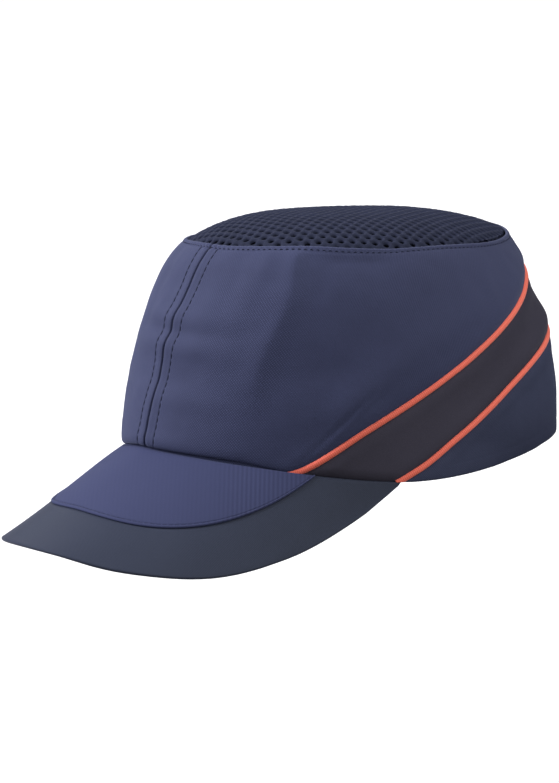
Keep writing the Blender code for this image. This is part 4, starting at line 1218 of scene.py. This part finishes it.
path = [(u, -3.3) for u in np.linspace(-50.0, 14.5, 60)] + half_turn(15.0, 1.0, -90.0, 78.0, 26)
ob, outer, inner = strap("adjuster_strap", path, 1.2, LOW, HIGH, WEBBING, ridge=0.06)
wear(ob, "cap", "webbing", "adjuster_strap")
path = [(u, -3.3) for u in np.linspace(50.0, 28.5, 24)] + half_turn(28.0, -1.0, -90.0, 90.0, 24) + [(29.0, 1.3), (30.0, 1.3), (31.0, 1.25)]
ob, outer, inner = strap("adjuster_tab", path, 1.2, LOW, HIGH, WEBBING, ridge=0.06)
wear(ob, "cap", "webbing", "adjuster_tab")

ring = []
for cu, cz, start in ((25.0, 31.5, 0.0), (18.0, 31.5, 90.0), (18.0, 12.5, 180.0), (25.0, 12.5, 270.0)):
    for v in np.radians(np.linspace(start, start + 90.0, 12)):
        ring.append((cu + 3.0 * math.cos(v), cz + 3.0 * math.sin(v)))
ring = np.array(ring)
dense = []
for a, b in zip(ring, np.roll(ring, -1, 0)):
    n_seg = max(int(np.linalg.norm(b - a) / 1.0), 1)
    dense += [mix(a, b, i / n_seg) for i in range(n_seg)]
dense = np.array(dense)
p = round_back(dense[:, 0], -1.0, dense[:, 1])
q = round_back(dense[:, 0], 0.0, dense[:, 1])
ob = tube("adjuster_ring", p, unit(q - p), 1.3, 1.3, ACETAL, sides=18, cyclic=True, full=2.3)
wear(ob, "cap", "ring_plastic", "adjuster_ring")

path = half_turn(15.0, 1.0, 58.0, 90.0, 9)[:-1] + [(u, 1.3) for u in np.linspace(15.0, -24.0, 56)]
tail, outer, inner = strap("strap_tail", path, 1.2, LOW, HIGH, WEBBING, ridge=0.06)
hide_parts("strap_tail")
tuple(round_back(15.6, 1.3, 22.0) * MM)
tuple(round_back(11.8, 1.3, 22.0) * MM)
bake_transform(tail)
out_way = round_back(np.linspace(9.0, -22.6, 60), 1.0, 0.0) - round_back(np.linspace(9.0, -22.6, 60), 0.0, 0.0)
rows = [(round_back(np.linspace(9.0, -22.6, 60), 1.3 + 0.66, h), out_way) for h in (14.4, 29.6)]
ends = np.linspace(14.4, 29.6, 20)
for u in (-22.6, 9.0):
    rows.append((np.stack([round_back(u, 1.96, h) for h in ends]), np.stack([round_back(u, 1.0, 0.0) - round_back(u, 0.0, 0.0)] * 20)))
stitching("tail_stitching", rows, BLACK_THREAD, body="strap_tail", slot="webbing", radius=0.24, long=2.2, gap=0.8)
rows = []
for u in (41.0, 45.0):
    rows.append((np.stack([round_back(u, -2.6, h) for h in ends]), np.stack([round_back(u, 1.0, 0.0) - round_back(u, 0.0, 0.0)] * 20)))
    rows.append((np.stack([round_back(-u, -2.6, h) for h in ends]), np.stack([round_back(-u, 1.0, 0.0) - round_back(-u, 0.0, 0.0)] * 20)))
stitching("strap_end_stitching", rows, BLACK_THREAD, slot="webbing", radius=0.26, long=1.6, gap=0.5)

# Loop patch: a backing with rows of small standing loops.
ob, outer, inner = strap("loop_patch", [(u, -2.0) for u in np.linspace(-27.0, 9.0, 40)], 0.8, LOW + 1.0, HIGH - 1.0, LOOPS)
wear(ob, "cap", "hook_and_loop", "loop_patch")


def little_wires(name, runs, base, reach, body, look, curl, radius=0.13):
    """Rows of small bent wires that stand off a patch and curl over: hooks, or loops that come back."""
    verts, faces = [], []
    turn = np.linspace(0.0, 2.0 * np.pi, 5, endpoint=False)
    bend = np.linspace(0.0, curl, 6)
    size = reach / 1.7
    for row, h in enumerate(np.arange(LOW + 2.0, HIGH - 1.9, 1.35)):
        for i, u in enumerate(runs + (0.65 if row % 2 else 0.0)):
            lean = math.sin(12.9 * i + 78.2 * row) * 0.5
            v = [(0.0, 0.0), (0.0, 0.5)] + [(size * 0.55 * (1 - math.cos(b)), 0.5 + size * 0.7 * math.sin(b)) for b in bend[1:]]
            pts = np.array([[u + x * math.cos(lean), base + math.copysign(y, reach) * 1.0, h + x * math.sin(lean)] for x, y in v])
            p = np.stack([round_back(*q) for q in pts])
            t = unit(np.gradient(p, axis=0))
            side_way = unit(np.cross(t, np.array((0.31, 0.17, 0.93))))
            up_way = np.cross(t, side_way)
            ring = (p[:, None] + side_way[:, None] * (np.cos(turn)[None, :, None] * radius)
                    + up_way[:, None] * (np.sin(turn)[None, :, None] * radius))
            ids = np.arange(ring.shape[0] * 5).reshape(-1, 5) + sum(len(x) for x in verts[:0]) + len(verts) * ring.shape[0] * 5
            faces += np.stack((ids[:-1], np.roll(ids[:-1], -1, 1), np.roll(ids[1:], -1, 1), ids[1:]), -1).reshape(-1, 4).tolist()
            faces += [ids[0][::-1].tolist(), ids[-1].tolist()]
            verts.append(ring.reshape(-1, 3))
    ob = build(name, np.concatenate(verts), faces, look)
    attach(ob, body)
    return ob


little_wires("loop_pile", np.arange(-26.0, 8.0, 1.25), -1.7, 0.75, "cap", LOOPS, math.radians(175.0), 0.15)
ob, outer, inner = strap("hook_patch", [(u, 0.1) for u in np.linspace(-22.0, 8.0, 34)], 0.6, LOW + 1.0, HIGH - 1.0, HOOKS)
wear(ob, "strap_tail", "hook_and_loop", "hook_patch")
little_wires("hooks", np.arange(-21.2, 7.0, 1.4), -0.15, -0.75, "strap_tail", HOOKS, math.radians(140.0), 0.12)

# ------------------------------------------------------------------ impact shell and its pads
COLUMNS, ROWS = 80, 18
points = []
for i in range(COLUMNS):
    angle = 360.0 * i / COLUMNS
    start = float(shell_turn(shell_edge(angle)))
    turns_up = np.array([mix(start, math.pi / 2, j / ROWS) for j in range(ROWS)])
    rib = 0.45 * (0.5 + 0.5 * math.cos(2 * math.pi * (i - 3) / 4.0)) * ease(1.0, 3.0, np.arange(ROWS)) * (1.0 - ease(13.0, 16.0, np.arange(ROWS)))
    flange = 0.5 * (np.arange(ROWS) < 1)
    points.append(shell_in(np.full(ROWS, angle), turns_up, -(rib + flange)))
points = np.concatenate((np.stack(points).reshape(-1, 3), [[0.0, 0.0, 103.0]]))
slots = {(2 * i + m, j) for i in range(0, 40, 4) for m in (0, 1) for j in (4, 5, 6, 7)}
slots |= {(2 * i + 4 + m, j) for i in range(0, 40, 4) for m in (0, 1) for j in (10, 11, 12, 13)}
faces = []
for i in range(COLUMNS):
    m = (i + 1) % COLUMNS
    for j in range(ROWS - 1):
        if (i, j) not in slots:
            faces.append((i * ROWS + j, m * ROWS + j, m * ROWS + j + 1, i * ROWS + j + 1))
    faces.append((i * ROWS + ROWS - 1, m * ROWS + ROWS - 1, COLUMNS * ROWS))
hard = build("impact_shell", points, faces, ABS)
first = hard.modifiers.new("smooth", "SUBSURF")
first.levels = first.render_levels = 1
solid = hard.modifiers.new("wall", "SOLIDIFY")
solid.thickness = 1.8 * MM
solid.offset = -1.0
solid.use_even_offset = True
last = hard.modifiers.new("edges", "SUBSURF")
last.levels = last.render_levels = 1
wear(hard, "shell", "shell_plastic", "impact_shell")


def pad(name, low_angle, high_angle, low, high, channels):
    """A foam pad on the shell: flat to the shell, rounded at its edges, with moulded channels."""
    a = np.linspace(low_angle, high_angle, 61)[:, None]
    f = np.concatenate(((0.0, 0.01, 0.03, 0.06), np.linspace(0.1, 0.9, 22), (0.94, 0.97, 0.99, 1.0)))[None]
    tall = shell_turn(np.array(low)) + (shell_turn(np.array(high)) - shell_turn(np.array(low))) * f
    aa, tt = np.broadcast_arrays(a, tall)
    outer = shell_in(aa, tt, np.full(aa.shape, 2.75))
    u = np.concatenate((np.zeros((1, aa.shape[1])), np.cumsum(np.linalg.norm(np.diff(outer, axis=0), axis=-1), axis=0)), 0)
    v = np.concatenate((np.zeros((aa.shape[0], 1)), np.cumsum(np.linalg.norm(np.diff(outer, axis=1), axis=-1), axis=1)), 1)
    near = np.minimum(np.minimum(u, u[-1:] - u), np.minimum(v, v[:, -1:] - v))
    lip = np.sqrt(np.clip(1.0 - (1.0 - np.minimum(near / 3.2, 1.0)) ** 2, 0.03, 1.0))
    wave = np.abs(np.sin(np.pi * channels * u / u[-1:]))
    groove = 1.5 * (1.0 - ease(0.0, 0.30, wave)) * ease(2.0, 5.0, near)
    thick = 0.6 + (4.35 - groove + 0.15 * ripple(outer, 10.0, 12.0)) * lip
    inner = shell_in(aa, tt, 2.75 + thick)
    ob = closed_sheet(name, outer, inner, FOAM, np.stack((u, v), -1))
    wear(ob, "shell", "foam", name)


pad("front_pad", -36.0, 36.0, 47.0, 74.0, 5)
pad("rear_pad", 144.0, 216.0, 57.0, 80.0, 5)
pad("side_pad_left", 63.0, 117.0, 44.0, 72.0, 3)
pad("side_pad_right", -117.0, -63.0, 44.0, 72.0, 3)


def crown_pad():
    around, steps = 96, 18
    a = np.linspace(0.0, 360.0, around, endpoint=False)[:, None]
    f = np.concatenate(((0.0, 0.02, 0.05, 0.09), np.linspace(0.15, 1.0, steps)))[None]
    tall = np.radians(66.0) + (np.radians(89.3) - np.radians(66.0)) * f
    aa, tt = np.broadcast_arrays(a, tall)
    outer = shell_in(aa, tt, np.full(aa.shape, 2.75))
    reach = np.linalg.norm(outer[..., :2], axis=-1)
    near = np.linalg.norm(outer - outer[:, :1], axis=-1)
    lip = np.sqrt(np.clip(1.0 - (1.0 - np.minimum(near / 3.2, 1.0)) ** 2, 0.03, 1.0))
    spoke = np.abs(np.sin(np.radians(aa) * 3.0)) * reach
    groove = 1.4 * (1.0 - ease(0.0, 4.5, spoke)) * ease(6.0, 10.0, reach) * ease(2.0, 5.0, near)
    groove = np.maximum(groove, 1.4 * hill(reach, 15.0, 1.3))
    inner = shell_in(aa, tt, 2.75 + 0.6 + (4.35 - groove) * lip)
    ob = round_sheet("crown_pad", outer, inner, (0.0, 0.0, 100.25), (0.0, 0.0, 95.3), FOAM)
    wear(ob, "shell", "foam", "crown_pad")


crown_pad()

# ------------------------------------------------------------------ camera, light and floor
AZ, EL, ROLL = math.radians(52.038), math.radians(8.169), math.radians(0.358)
back = Vector((math.sin(AZ) * math.cos(EL), -math.cos(AZ) * math.cos(EL), math.sin(EL)))
right = Vector((math.cos(AZ), math.sin(AZ), 0.0))
up = back.cross(right)
right, up = math.cos(ROLL) * right + math.sin(ROLL) * up, -math.sin(ROLL) * right + math.cos(ROLL) * up
FOCAL, WIDE, TALL = 2852.2, 559.0, 783.0
look_at = (-back * FOCAL + right * (WIDE / 2 - 333.694) + up * (349.87 - TALL / 2)).normalized()
side_way = (right - look_at * right.dot(look_at)).normalized()
lens = bpy.data.cameras.new("camera")
lens.sensor_fit = "VERTICAL"
lens.sensor_height = 36.0
lens.lens = FOCAL / TALL * 36.0
lens.clip_start, lens.clip_end = 0.05, 100.0
camera = bpy.data.objects.new("camera", lens)
camera.matrix_world = Matrix.Translation(Vector((0.0, 0.0, 0.045)) + back * 1.3) @ Matrix(
    (side_way, side_way.cross(look_at), -look_at)).transposed().to_4x4()
scene.collection.objects.link(camera)
scene.camera = camera

world = bpy.data.worlds.new("studio")
world.use_nodes = True
tree = world.node_tree
soft_light = tree.nodes["Background"]
soft_light.inputs[0].default_value = (1.0, 1.0, 1.0, 1.0)
soft_light.inputs[1].default_value = 0.05
white = tree.nodes.new("ShaderNodeBackground")
white.inputs[0].default_value = (1.0, 1.0, 1.0, 1.0)
white.inputs[1].default_value = 1.05
either = tree.nodes.new("ShaderNodeMixShader")
seen = tree.nodes.new("ShaderNodeLightPath")
tree.links.new(seen.outputs["Is Camera Ray"], either.inputs[0])
tree.links.new(soft_light.outputs[0], either.inputs[1])
tree.links.new(white.outputs[0], either.inputs[2])
tree.links.new(either.outputs[0], tree.nodes["World Output"].inputs[0])
scene.world = world


def sun(name, towards, strength, spread, tint=(1.0, 1.0, 1.0)):
    """Even light from a direction, as soft as its spread in degrees."""
    data = bpy.data.lights.new(name, "SUN")
    data.energy = strength
    data.color = tint
    data.angle = math.radians(spread)
    ob = bpy.data.objects.new(name, data)
    ob.location = Vector(towards) * 2.0
    ob.rotation_euler = (-Vector(towards)).to_track_quat("-Z", "Y").to_euler()
    scene.collection.objects.link(ob)
    return ob


sun("key", (-0.55, -0.66, 0.48), 5.0, 36.0, (0.98, 0.985, 1.06))
sun("top", (0.10, 0.15, 1.0), 1.2, 80.0)
sun("side", (0.95, 0.02, 0.50), 1.64, 60.0, (1.0, 0.985, 0.92))
sun("back", (0.45, 0.55, 0.70), 0.85, 60.0)
sun("rim", (-0.75, 0.30, 0.57), 0.6, 40.0).visible_diffuse = False

floor_look = Look("pale floor", 0.9, Specular_IOR_Level=0.1)
floor_look.set("Base Color", floor_look.blend(floor_look.noise(400.0), (0.86, 0.86, 0.86), (0.88, 0.88, 0.88)))
data = bpy.data.meshes.new("floor")
n, r = 64, 14.0
data.from_pydata([(r * math.cos(i * math.tau / n), r * math.sin(i * math.tau / n), -0.165) for i in range(n)], [], [list(range(n))])
data.materials.append(floor_look.material)
floor = bpy.data.objects.new("floor", data)
scene.collection.objects.link(floor)
floor.visible_diffuse = False
